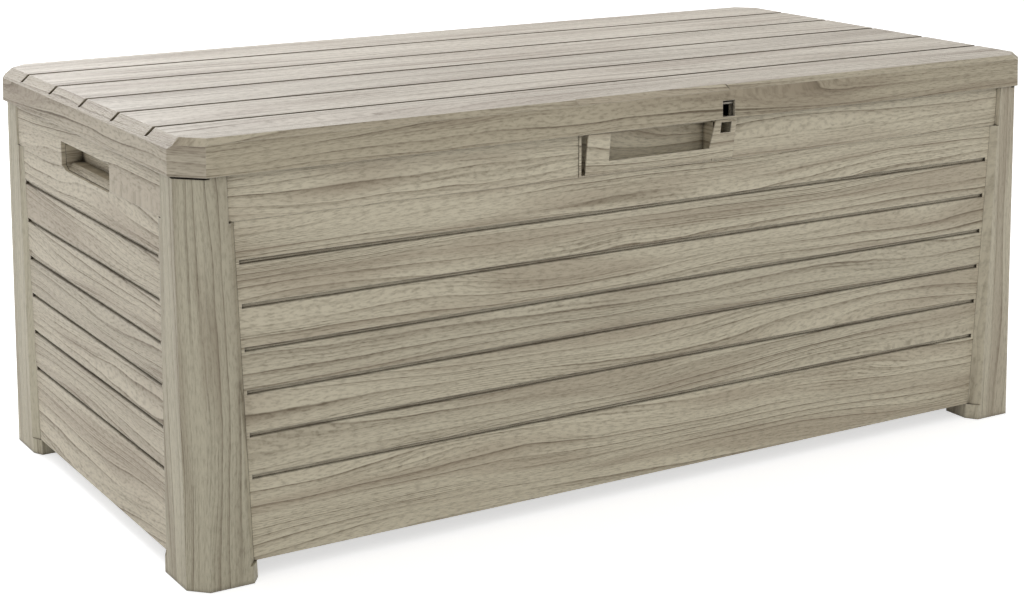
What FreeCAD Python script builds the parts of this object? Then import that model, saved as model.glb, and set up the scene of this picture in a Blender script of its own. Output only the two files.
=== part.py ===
import FreeCAD, Part
import math
import os

# Outdoor cushion storage box. Millimetres, X along the front, -Y to the front, Z up from the floor.

# Overall sizes of the closed box
LID_LENGTH = 1450.0
LID_WIDTH = 734.0
BOX_HEIGHT = 596.8
LID_HEIGHT = 48.2
LID_FLARE = 1.4
LID_CORNER = 37.0
HALF_LENGTH = LID_LENGTH / 2
HALF_WIDTH = LID_WIDTH / 2
LID_BOTTOM = BOX_HEIGHT - LID_HEIGHT

# Heights of the walls
FOOT_HEIGHT = 24.0
FOOT_SOLE = 5.0
FOOT_FRONT_TOE = 4.5
FOOT_SIDE_TOE = 5.0
JOIN_GAP = 0.3
LID_SEAM = 0.4
POST_SEAM = 0.8
RIM_RISE = 17.8
RIM_THICKNESS = 2.5
RIM_SETBACK = 2.9
RIM_ROOT = 3.0
WALL_THICKNESS = 5.0
WALL_BOTTOM = FOOT_HEIGHT + JOIN_GAP
WALL_TOP = LID_BOTTOM - LID_SEAM
POST_TOP = LID_BOTTOM - POST_SEAM
RIM_TOP = LID_BOTTOM + RIM_RISE

# Corner posts, given at the lid and at the floor because they spread towards the feet
POST_INSET = 5.0
SIDE_SPREAD = 12.4
FRONT_SPREAD = 10.2
POST_SIDE_TOP = HALF_LENGTH - POST_INSET
POST_SIDE_FLOOR = POST_SIDE_TOP + SIDE_SPREAD
POST_FRONT_TOP = HALF_WIDTH - POST_INSET
POST_FRONT_FLOOR = POST_FRONT_TOP + FRONT_SPREAD
POST_CORNER_TOP = 31.0
POST_CORNER_FLOOR = 24.0
POST_WALL = 3.0
POST_WEB = 25.0
POST_CAP = 4.0
POST_NOTCH_DEPTH = 2.6
POST_NOTCH_WIDTH = 7.0
REAR_RELIEF_HEIGHT = 13.0
REAR_RELIEF_GAP = 0.2

# Depth of the walls behind the posts, and width of the post boards, at the lid and at the floor
FRONT_RECESS_TOP = 8.3
FRONT_RECESS_FLOOR = 17.4
SIDE_RECESS_TOP = 3.0
SIDE_RECESS_FLOOR = 8.4
FRONT_BOARD_TOP = 69.0
FRONT_BOARD_FLOOR = 94.4
SIDE_BOARD_TOP = 87.0
SIDE_BOARD_FLOOR = 109.7
FRONT_BEVEL_TOP = 7.5
FRONT_BEVEL_FLOOR = 12.5
SIDE_BEVEL_TOP = 11.0
SIDE_BEVEL_FLOOR = 17.0
FRONT_PLANE_TOP = POST_FRONT_TOP - FRONT_RECESS_TOP
FRONT_PLANE_FLOOR = POST_FRONT_FLOOR - FRONT_RECESS_FLOOR
SIDE_PLANE_TOP = POST_SIDE_TOP - SIDE_RECESS_TOP
SIDE_PLANE_FLOOR = POST_SIDE_FLOOR - SIDE_RECESS_FLOOR
FRONT_EDGE_TOP = POST_SIDE_TOP - FRONT_BOARD_TOP
FRONT_EDGE_FLOOR = POST_SIDE_FLOOR - FRONT_BOARD_FLOOR
SIDE_EDGE_TOP = POST_FRONT_TOP - SIDE_BOARD_TOP
SIDE_EDGE_FLOOR = POST_FRONT_FLOOR - SIDE_BOARD_FLOOR

# The plain frieze board at the top of each wall stands out a little and is longer than the field below
FRIEZE_HEIGHT = 62.0
FRIEZE_FRONT_PROUD = 2.3
FRIEZE_SIDE_PROUD = 1.5
FRIEZE_FRONT_BOARD = 63.0
FRIEZE_SIDE_BOARD = 74.5
FRIEZE_BEVEL = 2.5
FRIEZE_Z = LID_BOTTOM - FRIEZE_HEIGHT
FRIEZE_FRONT_EDGE = POST_SIDE_TOP - FRIEZE_FRONT_BOARD
FRIEZE_SIDE_EDGE = POST_FRONT_TOP - FRIEZE_SIDE_BOARD

# Slatted field: nine board heights fill the wall, and the frieze and the bottom board take two each
BOARD_COUNT = 9
SINGLE_BOARDS = 5
DOUBLE_BOARD = 2
BOARD_PITCH = (LID_BOTTOM - WALL_BOTTOM) / BOARD_COUNT
GROOVE_TOP = LID_BOTTOM - DOUBLE_BOARD * BOARD_PITCH
GROOVE_HEIGHT = 6.4
GROOVE_DEPTH = 4.0
GROOVE_FLOOR_SLOPE = 1.5
GROOVE_LIP = 0.6
FRONT_GROOVE_MARGIN = 5.0
SIDE_GROOVE_MARGIN = 3.5

# Flanges and ribs behind the walls
FLANGE_THICKNESS = 4.0
FLANGE_HEIGHT = 10.0
FLANGE_OVERLAP = 20.0
FRONT_FLANGE_REACH = 25.0
SIDE_FLANGE_REACH = 33.0
FRONT_SCREW_OFFSET = 12.0
SIDE_SCREW_OFFSET = 25.0
WALL_RIB_WIDTH = 3.0
FRONT_RIB_MARGIN = 38.0
FRONT_RIB_STEPS = 8
SIDE_RIB_SHARE = 0.42
SIDE_RIB_NUMBERS = (-2, -1, 0, 1)
RIB_TOP_GAP = 8.0
PANEL_SCREW_BOARDS = (1.0, 4.5, 8.2)
FRONT_FLANGE_END = FRONT_EDGE_TOP + FRONT_FLANGE_REACH
SIDE_FLANGE_END = SIDE_EDGE_TOP + SIDE_FLANGE_REACH
FRONT_SCREW_X = FRONT_EDGE_TOP + FRONT_SCREW_OFFSET
SIDE_SCREW_Y = SIDE_EDGE_TOP + SIDE_SCREW_OFFSET

# Floor panel and the ledges of the feet that carry it
FLOOR_THICKNESS = 13.0
FLOOR_SHEET = 3.0
FLOOR_GAP = 1.8
FLOOR_CORNER = 18.5
FLOOR_RIB_WIDTH = 3.0
FLOOR_RIBS_ALONG = 5
FLOOR_RIBS_ACROSS = 9
FLOOR_SCREW_NEAR = 15.0
FLOOR_SCREW_FAR = 54.0
FLOOR_SCREW_LENGTH = 22.0
LEDGE_DEPTH = 44.0
FLOOR_TOP = FOOT_HEIGHT + FLOOR_THICKNESS
FLOOR_HALF_LENGTH = SIDE_PLANE_FLOOR - WALL_THICKNESS - FLANGE_THICKNESS - FLOOR_GAP
FLOOR_HALF_WIDTH = FRONT_PLANE_FLOOR - WALL_THICKNESS - FLANGE_THICKNESS - FLOOR_GAP
FOOT_SIDE_DEPTH = SIDE_PLANE_FLOOR - LEDGE_DEPTH
FOOT_FRONT_DEPTH = FRONT_PLANE_FLOOR - LEDGE_DEPTH

# Lid shell: bevels all round, longer and steeper at the two ends
LID_WALL = 3.6
END_BEVEL_RUN = 15.8
END_BEVEL_DROP = 14.0
FRONT_BEVEL_RUN = 9.0
FRONT_BEVEL_DROP = 6.8
CORNER_BEVEL_RUN = 10.5
CORNER_BEVEL_DROP = 9.0
GRIP_BEVEL_EXTRA = 5.0
GRIP_BEVEL_CENTRE = -8.0
GRIP_BEVEL_HALF = 129.0
LID_SHEET = 4.5
LID_ROOM_RUN = 24.0
LID_ROOM_DROP = 8.0
LID_GROOVE_SHARE = 0.1707
LID_GROOVE_WIDTH = 8.5
LID_GROOVE_DEPTH = 6.0
LID_GROOVE_REACH = 0.8
LID_GROOVE_BEND = 3.0
CHANNEL_SHEET = 2.5
CHANNEL_WIDTH = 14.0
CHANNEL_END = 44.0
LID_GROOVE_PITCH = LID_GROOVE_SHARE * LID_WIDTH
LID_GROOVE_NUMBERS = (-2, -1, 0, 1, 2)
LID_SHEET_UNDER = BOX_HEIGHT - LID_SHEET
CHANNEL_UNDER = BOX_HEIGHT - LID_GROOVE_DEPTH - CHANNEL_SHEET

# Padlock holes, one in the lid's skirt and one in the grip below it
LOCK_LEFT = 107.5
LOCK_LID_WIDTH = 22.0
LOCK_RIM_GAP = 3.0
LOCK_GRIP_WIDTH = 18.5
LOCK_LID_RISE = 3.2
LOCK_LID_HEIGHT = 23.2
LOCK_GRIP_DROP = 5.0
LOCK_GRIP_HEIGHT = 15.8

# Lid liner, stiffener tubes and bosses
LINER_RISE = 20.8
LINER_THICKNESS = 2.5
LINER_GAP = 1.0
LINER_RIB_GAP = 0.3
LINER_RIB_WIDTH = 3.0
LINER_RIB_HEIGHT = 8.0
TUBE_WIDTH = 30.0
TUBE_WALL = 1.5
TUBE_END_GAP = 85.0
BOSS_RADIUS = 6.0
BOSS_END_GAP = 65.0
BOSS_EDGE_GAP = 57.0
BOSS_SCREW_DEPTH = 16.0
LINER_BOTTOM = LID_BOTTOM + LINER_RISE
TUBE_Y = 1.5 * LID_GROOVE_PITCH
TUBE_HALF_LENGTH = HALF_LENGTH - TUBE_END_GAP
BOSS_LONG = HALF_LENGTH - BOSS_END_GAP
BOSS_X = (-BOSS_LONG, -BOSS_LONG / 2, 0.0, BOSS_LONG / 2, BOSS_LONG)
BOSS_EDGE_Y = HALF_WIDTH - BOSS_EDGE_GAP
BOSS_Y = (-BOSS_EDGE_Y, -LID_GROOVE_PITCH / 2, LID_GROOVE_PITCH / 2, BOSS_EDGE_Y)

# Hinges
HINGE_INSET = 10.6
HINGE_RISE = 1.8
HINGE_WIDTH = 90.0
KNUCKLE_RADIUS = 3.5
KNUCKLE_GAP = 0.4
PIN_RADIUS = 2.0
PIN_CLEARANCE = 0.04
PIN_HEAD = 1.8
PIN_HEAD_RADIUS = 2.8
LEAF_THICKNESS = 1.5
LEAF_LOW = 1.0
LEAF_HIGH = 15.8
TAB_HEIGHT = 1.6
TAB_REACH = 2.5
HINGE_PAD = 3.0
HINGE_PAD_HEIGHT = 18.0
SKIRT_PAD = 1.2
HINGE_SCREW_X = (-33.0, 0.0, 33.0)
HINGE_SCREW_RISE = 10.8
BODY_LEAF_SCREW = 6.4
LID_LEAF_SCREW = 5.4
HINGE_Y = HALF_WIDTH - HINGE_INSET
HINGE_Z = LID_BOTTOM + HINGE_RISE
HINGE_X = (-LID_LENGTH / 3, 0.0, LID_LENGTH / 3)
LEAF_BOTTOM = LID_BOTTOM + LEAF_LOW
LEAF_TOP = LID_BOTTOM + LEAF_HIGH
HINGE_SCREW_Z = LID_BOTTOM + HINGE_SCREW_RISE

# Gas struts: both studs lie on one circle about the hinge line
STRUT_SHARE = 0.6
STRUT_CLOSED_ANGLE = 70.0
STRUT_INSET = 37.0
CYLINDER_RADIUS = 9.0
CYLINDER_START = 16.0
CYLINDER_END_GAP = 30.0
CYLINDER_WALL = 1.5
CYLINDER_CAP = 3.0
ROD_RADIUS = 4.0
ROD_START = 22.0
PISTON_LENGTH = 12.0
PISTON_CLEARANCE = 0.05
EYE_RADIUS = 8.0
EYE_WIDTH = 10.0
NECK_RADIUS = 4.5
STUD_RADIUS = 4.0
STUD_CLEARANCE = 0.05
STUD_HEAD_RADIUS = 6.0
STUD_HEAD = 2.0
EYE_SIDE_GAP = 0.2
BODY_PLATE_INSET = 21.0
PLATE_THICKNESS = 2.5
PLATE_WIDTH = 44.0
BODY_PLATE_HEIGHT = 60.0
BODY_PLATE_SCREW = 9.0
LID_PLATE_SCREW = 8.0
LID_WEB_GAP = 8.0
LID_FOOT_WIDTH = 24.0
LID_BOSS_OFFSET = 22.0
STRUT_CIRCLE = STRUT_SHARE * HALF_WIDTH
STRUT_X = HALF_LENGTH - STRUT_INSET
BODY_PLATE_X = HALF_LENGTH - BODY_PLATE_INSET
LID_WEB_X = STRUT_X - LID_WEB_GAP
LID_FOOT_X = LID_WEB_X - LID_FOOT_WIDTH
LID_BOSS_X = STRUT_X - LID_BOSS_OFFSET

# Front grip: a tilted plate in front of a pocket that is open at the left and under the lid
GRIP_CENTRE = 6.5
GRIP_HALF_WIDTH = 128.0
GRIP_FRONT_SETBACK = 1.0
GRIP_FOOT_PROUD = 2.0
GRIP_HEIGHT = 56.8
GRIP_SLOPE_HEIGHT = 4.5
GRIP_WALL = 3.0
GRIP_SIDE_GAP = 9.0
GRIP_CUP_DROP = 4.8
GRIP_CUP_FLOOR = 1.8
GRIP_POCKET_DEPTH = 25.0
GRIP_FLANGE = 8.0
GRIP_SCREW_DROPS = (43.0, 13.0)
WINDOW_LEFT_TOP = -84.5
WINDOW_LEFT_BOTTOM = -83.5
WINDOW_RIGHT_TOP = 97.5
WINDOW_RIGHT_BOTTOM = 91.0
WINDOW_SILL = 14.5
GRIP_TOP = LID_BOTTOM - POST_SEAM
GRIP_BOTTOM = LID_BOTTOM - GRIP_HEIGHT
GRIP_CUP_TOP = WALL_TOP - JOIN_GAP
WINDOW_BOTTOM = GRIP_BOTTOM + WINDOW_SILL
GRIP_FRONT_TOP = HALF_WIDTH - GRIP_FRONT_SETBACK

# Side hand-holds: an opening in the wall and a cup behind it
HANDLE_CENTRE = -4.0
HANDLE_HALF = 97.5
HANDLE_DROP = 25.0
HANDLE_HEIGHT = 41.6
HANDLE_CORNER_RUN = 12.0
HANDLE_CORNER_RISE = 6.5
HANDLE_LIP_RISE = 9.0
HANDLE_LIP_DEPTH = 9.0
CUP_WALL = 3.0
CUP_DEPTH = 33.0
CUP_FLANGE = 9.0
CUP_SCREW_MARGIN = 8.0
HANDLE_FRONT = HANDLE_CENTRE - HANDLE_HALF
HANDLE_REAR = HANDLE_CENTRE + HANDLE_HALF
HANDLE_TOP = LID_BOTTOM - HANDLE_DROP
HANDLE_BOTTOM = HANDLE_TOP - HANDLE_HEIGHT
CUP_INNER_X = SIDE_PLANE_TOP - CUP_DEPTH

# Screws
SCREW_RADIUS = 2.0
SCREW_CLEARANCE = 0.05
SCREW_HEAD_RADIUS = 4.0
SCREW_HEAD = 2.2
FLAT_HEAD = 1.2
SMALL_SCREW_RADIUS = 1.6
SMALL_HEAD_RADIUS = 3.0
SMALL_HEAD = 1.2
HEAD_GAP = 0.06
PANEL_SCREW_LENGTH = 7.5
LINER_SCREW_LENGTH = 14.0
SMALL_SCREW_LENGTH = 6.5

LEFT = -1
RIGHT = 1
FRONT = -1
BACK = 1
EXTRA = 1.0


# Small shape helpers

def vec(x, y, z):
    return FreeCAD.Vector(x, y, z)


def box(x0, x1, y0, y1, z0, z1):
    low = vec(min(x0, x1), min(y0, y1), min(z0, z1))
    return Part.makeBox(abs(x1 - x0), abs(y1 - y0), abs(z1 - z0), low)


def wire(points):
    return Part.makePolygon(points + [points[0]])


def prism_x(points_yz, x0, x1):
    outline = wire([vec(x0, y, z) for y, z in points_yz])
    return Part.Face(outline).extrude(vec(x1 - x0, 0, 0))


def prism_y(points_xz, y0, y1):
    outline = wire([vec(x, y0, z) for x, z in points_xz])
    return Part.Face(outline).extrude(vec(0, y1 - y0, 0))


def prism_z(points_xy, z0, z1):
    outline = wire([vec(x, y, z0) for x, y in points_xy])
    return Part.Face(outline).extrude(vec(0, 0, z1 - z0))


def loft_z(points_low, z0, points_high, z1):
    low = wire([vec(x, y, z0) for x, y in points_low])
    high = wire([vec(x, y, z1) for x, y in points_high])
    return Part.makeLoft([low, high], True, True)


def cylinder(start, direction, radius, length):
    return Part.makeCylinder(radius, length, start, direction)


def fuse(shapes):
    return shapes[0].multiFuse(shapes[1:]).removeSplitter()


def cut(shape, tools):
    return shape.cut(Part.makeCompound(tools))


def mirrored_x(shape):
    return shape.mirror(vec(0, 0, 0), vec(1, 0, 0))


def mirrored_y(shape):
    return shape.mirror(vec(0, 0, 0), vec(0, 1, 0))


def inset(points, distance):
    # Moves every side of a closed outline inwards; the outline runs anticlockwise.
    moved = []
    count = len(points)
    for index in range(count):
        before = points[index - 1]
        here = points[index]
        after = points[(index + 1) % count]
        moved.append(inset_corner(before, here, after, distance))
    return moved


def inset_corner(before, here, after, distance):
    in_x, in_y = unit(here[0] - before[0], here[1] - before[1])
    out_x, out_y = unit(after[0] - here[0], after[1] - here[1])
    cross = in_x * out_y - in_y * out_x
    first = (here[0] - in_y * distance, here[1] + in_x * distance)
    second = (here[0] - out_y * distance, here[1] + out_x * distance)
    step = ((second[0] - first[0]) * out_y - (second[1] - first[1]) * out_x) / cross
    return (first[0] + in_x * step, first[1] + in_y * step)


def unit(x, y):
    length = math.hypot(x, y)
    return x / length, y / length


def between(low_value, high_value, z):
    # Value at height z of something given at the floor and at the lid.
    return low_value + (high_value - low_value) * z / LID_BOTTOM


def front_plane(z):
    return between(FRONT_PLANE_FLOOR, FRONT_PLANE_TOP, z)


def side_plane(z):
    return between(SIDE_PLANE_FLOOR, SIDE_PLANE_TOP, z)


def front_edge(z):
    return between(FRONT_EDGE_FLOOR, FRONT_EDGE_TOP, z)


def side_edge(z):
    return between(SIDE_EDGE_FLOOR, SIDE_EDGE_TOP, z)


def groove_heights():
    return [GROOVE_TOP - BOARD_PITCH * number for number in range(SINGLE_BOARDS + 1)]


# Screws

def screw(start, direction, radius, length, head_radius, head):
    # The head stands on the near side of start and the shank runs along direction.
    shank = cylinder(start, direction, radius, length)
    back = start - direction * (head + HEAD_GAP)
    cap = cylinder(back, direction, head_radius, head)
    joint = cylinder(start - direction * (HEAD_GAP + 0.5), direction, radius, HEAD_GAP + 0.5)
    return fuse([shank, cap, joint])


def screw_hole(start, direction, radius, length):
    return cylinder(start, direction, radius + SCREW_CLEARANCE, length)


# Corner posts

def field_outline(z):
    # Section of the post beside the slatted field, in the corner where x and y are both positive.
    side = between(POST_SIDE_FLOOR, POST_SIDE_TOP, z)
    front = between(POST_FRONT_FLOOR, POST_FRONT_TOP, z)
    corner = between(POST_CORNER_FLOOR, POST_CORNER_TOP, z)
    edge_x = front_edge(z)
    edge_y = side_edge(z)
    inner_y = front_plane(z) - WALL_THICKNESS
    inner_x = side_plane(z) - WALL_THICKNESS
    return [
        (side_plane(z), edge_y),
        (side, edge_y + between(SIDE_BEVEL_FLOOR, SIDE_BEVEL_TOP, z)),
        (side, front - corner),
        (side - corner, front),
        (edge_x + between(FRONT_BEVEL_FLOOR, FRONT_BEVEL_TOP, z), front),
        (edge_x, front_plane(z)),
        (edge_x, inner_y),
        (inner_x - POST_WEB, inner_y),
        (inner_x, inner_y - POST_WEB),
        (inner_x, edge_y),
    ]


def frieze_outline(z):
    # Section of the post beside the frieze boards.
    outline = field_outline(z)
    side = outline[1][0]
    front = outline[4][1]
    inner_y = outline[6][1]
    inner_x = outline[9][0]
    outline[0] = (side_plane(z) + FRIEZE_SIDE_PROUD, FRIEZE_SIDE_EDGE)
    outline[1] = (side, FRIEZE_SIDE_EDGE + FRIEZE_BEVEL)
    outline[4] = (FRIEZE_FRONT_EDGE + FRIEZE_BEVEL, front)
    outline[5] = (FRIEZE_FRONT_EDGE, front_plane(z) + FRIEZE_FRONT_PROUD)
    outline[6] = (FRIEZE_FRONT_EDGE, inner_y)
    outline[9] = (inner_x, FRIEZE_SIDE_EDGE)
    return outline


def room_outline(outline):
    # The hollow leaves the bevelled edges of the two boards solid.
    side_face, corner_side, corner_front, front_face = outline[1:5]
    inner_y = outline[6][1]
    inner_x = outline[9][0]
    return inset([
        side_face, corner_side, corner_front, front_face, (front_face[0], inner_y),
        outline[7], outline[8], (inner_x, side_face[1])], POST_WALL)


def foot_outline(z):
    # The foot reaches a little further under each wall than the post above it.
    outline = field_outline(z)
    toe_x = outline[5][0] - FOOT_FRONT_TOE
    toe_y = outline[0][1] - FOOT_SIDE_TOE
    return [
        (outline[0][0], toe_y),
        (outline[1][0], outline[1][1] - FOOT_SIDE_TOE),
        outline[2],
        outline[3],
        (outline[4][0] - FOOT_FRONT_TOE, outline[4][1]),
        (toe_x, outline[5][1]),
        (toe_x, FOOT_FRONT_DEPTH),
        (FOOT_SIDE_DEPTH, FOOT_FRONT_DEPTH),
        (FOOT_SIDE_DEPTH, toe_y),
    ]


def post_rim_root():
    return POST_TOP - POST_CAP / 2


def post_rim():
    outer_y = FRONT_PLANE_TOP - RIM_SETBACK
    outer_x = SIDE_PLANE_TOP - RIM_SETBACK
    inner_y = outer_y - RIM_THICKNESS
    inner_x = outer_x - RIM_THICKNESS
    turn = RIM_THICKNESS * math.tan(math.radians(22.5))
    points = [
        (FRIEZE_FRONT_EDGE, inner_y),
        (inner_x - POST_WEB, inner_y),
        (inner_x, inner_y - POST_WEB),
        (inner_x, FRIEZE_SIDE_EDGE),
        (outer_x, FRIEZE_SIDE_EDGE),
        (outer_x, inner_y - POST_WEB + turn),
        (inner_x - POST_WEB + turn, outer_y),
        (FRIEZE_FRONT_EDGE, outer_y),
    ]
    return prism_z(points, post_rim_root(), RIM_TOP)


def post_holes():
    holes = []
    depth = POST_WALL + 2 * EXTRA
    for z in panel_screw_heights():
        start_y = front_plane(z) - WALL_THICKNESS - EXTRA
        holes.append(screw_hole(vec(FRONT_SCREW_X, start_y, z), vec(0, 1, 0), SCREW_RADIUS, depth))
        start_x = side_plane(z) - WALL_THICKNESS - EXTRA
        holes.append(screw_hole(vec(start_x, SIDE_SCREW_Y, z), vec(1, 0, 0), SCREW_RADIUS, depth))
    for x, y in floor_screw_corner():
        low = FLOOR_TOP - FLOOR_SCREW_LENGTH - EXTRA
        holes.append(screw_hole(vec(x, y, low), vec(0, 0, 1), SCREW_RADIUS, FLOOR_SCREW_LENGTH))
    return holes


def post(room_top):
    split = FRIEZE_Z - JOIN_GAP
    column = loft_z(field_outline(0), 0, field_outline(split), split)
    head = loft_z(frieze_outline(split), split, frieze_outline(POST_TOP), POST_TOP)
    foot = loft_z(foot_outline(0), 0, foot_outline(FOOT_HEIGHT), FOOT_HEIGHT)
    turn = split - POST_WALL
    low_low = room_outline(field_outline(FOOT_SOLE))
    low_room = loft_z(low_low, FOOT_SOLE, room_outline(field_outline(turn)), turn)
    high_low = room_outline(frieze_outline(turn))
    high_room = loft_z(high_low, turn, room_outline(frieze_outline(room_top)), room_top)
    solid = cut(fuse([column, head, foot]), [low_room, high_room, corner_notch()] + post_holes())
    return fuse([solid, post_rim()])


def corner_notch():
    # A low step across the chamfered corner, under the corner of the lid.
    reach = POST_SIDE_TOP + POST_FRONT_TOP - POST_CORNER_TOP - POST_NOTCH_WIDTH
    far = LID_LENGTH
    points = [(far, reach - far), (far, far), (reach - far, far)]
    return prism_z(points, POST_TOP - POST_NOTCH_DEPTH, POST_TOP + EXTRA)


def rear_post():
    # The skirt turns down behind the rear posts when the lid is open, so their tops are cut back.
    relief_z = POST_TOP - REAR_RELIEF_HEIGHT
    relief = box(0, LID_LENGTH, FRONT_PLANE_TOP + REAR_RELIEF_GAP, LID_WIDTH, relief_z, POST_TOP + EXTRA)
    return cut(post(relief_z - POST_CAP), [relief])


def placed_posts():
    front_right = mirrored_y(post(POST_TOP - POST_CAP))
    back_right = rear_post()
    return {
        "front_right_post": front_right,
        "front_left_post": mirrored_x(front_right),
        "back_right_post": back_right,
        "back_left_post": mirrored_x(back_right),
    }


# Walls, all drawn for the positive side and mirrored where needed

def panel_screw_heights():
    return [WALL_BOTTOM + BOARD_PITCH * boards for boards in PANEL_SCREW_BOARDS]


def slab_profile(plane, depth_out, depth_in, z0, z1):
    # Section of a slab that follows the lean of a wall, between two depths behind its face.
    return [
        (plane(z0) - depth_in, z0), (plane(z0) - depth_out, z0),
        (plane(z1) - depth_out, z1), (plane(z1) - depth_in, z1)]


def leaning_slab_x(depth_out, depth_in, z0, z1):
    return prism_x(slab_profile(front_plane, depth_out, depth_in, z0, z1), -HALF_LENGTH, HALF_LENGTH)


def leaning_slab_y(depth_out, depth_in, z0, z1):
    return prism_y(slab_profile(side_plane, depth_out, depth_in, z0, z1), -HALF_WIDTH, HALF_WIDTH)


def wall_span(edge, margin, z0, z1):
    # Outline of a wall between its two posts, seen from outside.
    return [
        (-edge(z0) + margin, z0), (edge(z0) - margin, z0),
        (edge(z1) - margin, z1), (-edge(z1) + margin, z1)]


def end_span(edge, start, end_low, end_high, z0, z1):
    return [(edge(z0) - start, z0), (end_low, z0), (end_high, z1), (edge(z1) - start, z1)]


def wall_end(slab, prism, edge, flange_end):
    # The flange that reaches behind the post, with its root on the sheet.
    top = post_rim_root() - JOIN_GAP
    thick = slab(WALL_THICKNESS - EXTRA, WALL_THICKNESS + FLANGE_THICKNESS, WALL_BOTTOM, top)
    thin = slab(WALL_THICKNESS, WALL_THICKNESS + FLANGE_THICKNESS, WALL_BOTTOM, top)
    root = end_span(edge, FLANGE_OVERLAP, edge(WALL_BOTTOM) - EXTRA, edge(top) - EXTRA, WALL_BOTTOM, top)
    reach = end_span(edge, FLANGE_OVERLAP / 4, flange_end, flange_end, WALL_BOTTOM, top)
    return thick.common(prism(root, 0, LID_LENGTH)).fuse(thin.common(prism(reach, 0, LID_LENGTH)))


def long_wall(proud):
    low_z = WALL_BOTTOM
    high_z = WALL_TOP
    sheet = leaning_slab_x(0, WALL_THICKNESS, low_z, high_z)
    sheet = sheet.common(prism_y(wall_span(front_edge, JOIN_GAP, low_z, high_z), 0, LID_WIDTH))
    end = wall_end(leaning_slab_x, prism_y, front_edge, FRONT_FLANGE_END)
    behind = WALL_THICKNESS + FLANGE_THICKNESS
    rail = leaning_slab_x(WALL_THICKNESS - EXTRA, behind, low_z, low_z + FLANGE_HEIGHT)
    half = FRONT_EDGE_FLOOR - FLANGE_OVERLAP / 4
    rail = rail.common(box(-half, half, 0, LID_WIDTH, 0, LID_BOTTOM))
    half = FRIEZE_FRONT_EDGE - JOIN_GAP
    frieze = leaning_slab_x(-proud, WALL_THICKNESS, FRIEZE_Z, high_z)
    frieze = frieze.common(box(-half, half, 0, LID_WIDTH, 0, LID_BOTTOM))
    rim_outer = FRONT_PLANE_TOP - RIM_SETBACK
    rim = box(-half, half, rim_outer - RIM_THICKNESS, rim_outer, high_z - RIM_ROOT, RIM_TOP)
    return fuse([sheet, frieze, end, mirrored_x(end), rail, rim])


def long_ribs(skip_half):
    ribs = []
    half = WALL_RIB_WIDTH / 2
    reach = FRONT_EDGE_FLOOR - FRONT_RIB_MARGIN
    for number in range(FRONT_RIB_STEPS + 1):
        x = -reach + 2 * reach * number / FRONT_RIB_STEPS
        top = WALL_TOP - RIB_TOP_GAP
        if abs(x) < skip_half:
            top = GRIP_BOTTOM - GRIP_HEIGHT
        behind = WALL_THICKNESS + FLANGE_THICKNESS
        depth = slab_profile(front_plane, WALL_THICKNESS - EXTRA, behind, WALL_BOTTOM, top)
        ribs.append(prism_x(depth, x - half, x + half))
    return ribs


def side_wall():
    low_z = WALL_BOTTOM
    high_z = WALL_TOP
    sheet = leaning_slab_y(0, WALL_THICKNESS, low_z, high_z)
    sheet = sheet.common(prism_x(wall_span(side_edge, JOIN_GAP, low_z, high_z), 0, LID_LENGTH))
    end = wall_end(leaning_slab_y, prism_x, side_edge, SIDE_FLANGE_END)
    behind = WALL_THICKNESS + FLANGE_THICKNESS
    rail = leaning_slab_y(WALL_THICKNESS - EXTRA, behind, low_z, low_z + FLANGE_HEIGHT)
    half = SIDE_EDGE_FLOOR - FLANGE_OVERLAP / 4
    rail = rail.common(box(0, LID_LENGTH, -half, half, 0, LID_BOTTOM))
    half = FRIEZE_SIDE_EDGE - JOIN_GAP
    frieze = leaning_slab_y(-FRIEZE_SIDE_PROUD, WALL_THICKNESS, FRIEZE_Z, high_z)
    frieze = frieze.common(box(0, LID_LENGTH, -half, half, 0, LID_BOTTOM))
    rim_outer = SIDE_PLANE_TOP - RIM_SETBACK
    rim = box(rim_outer - RIM_THICKNESS, rim_outer, -half, half, high_z - RIM_ROOT, RIM_TOP)
    return fuse([sheet, frieze, end, mirrored_y(end), rail, rim, strut_pad()] + side_ribs())


def side_ribs():
    ribs = []
    half = WALL_RIB_WIDTH / 2
    top = HANDLE_BOTTOM - RIB_TOP_GAP
    behind = WALL_THICKNESS + FLANGE_THICKNESS
    depth = slab_profile(side_plane, WALL_THICKNESS - EXTRA, behind, WALL_BOTTOM, top)
    for number in SIDE_RIB_NUMBERS:
        y = number * SIDE_RIB_SHARE * SIDE_EDGE_FLOOR
        ribs.append(prism_y(depth, y - half, y + half))
    return ribs


def strut_pad():
    y, z = strut_body_point()
    half_y = PLATE_WIDTH / 2
    half_z = BODY_PLATE_HEIGHT / 2
    far_depth = side_plane(z) - BODY_PLATE_X + CUP_WALL
    slab = leaning_slab_y(WALL_THICKNESS, far_depth, z - half_z, z + half_z)
    return slab.common(box(BODY_PLATE_X, LID_LENGTH, y - half_y, y + half_y, z - half_z, z + half_z))


def groove_profile(outer, z):
    low = z - GROOVE_HEIGHT / 2
    high = z + GROOVE_HEIGHT / 2
    return [
        (outer - GROOVE_DEPTH, low + GROOVE_FLOOR_SLOPE), (outer + EXTRA, low - GROOVE_LIP),
        (outer + EXTRA, high), (outer - GROOVE_DEPTH, high)]


def long_grooves():
    tools = []
    for z in groove_heights():
        half = front_edge(z) - FRONT_GROOVE_MARGIN
        tools.append(prism_x(groove_profile(front_plane(z), z), -half, half))
    return tools


def side_grooves():
    tools = []
    for z in groove_heights():
        half = side_edge(z) - SIDE_GROOVE_MARGIN
        tools.append(prism_y(groove_profile(side_plane(z), z), -half, half))
    return tools


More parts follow.
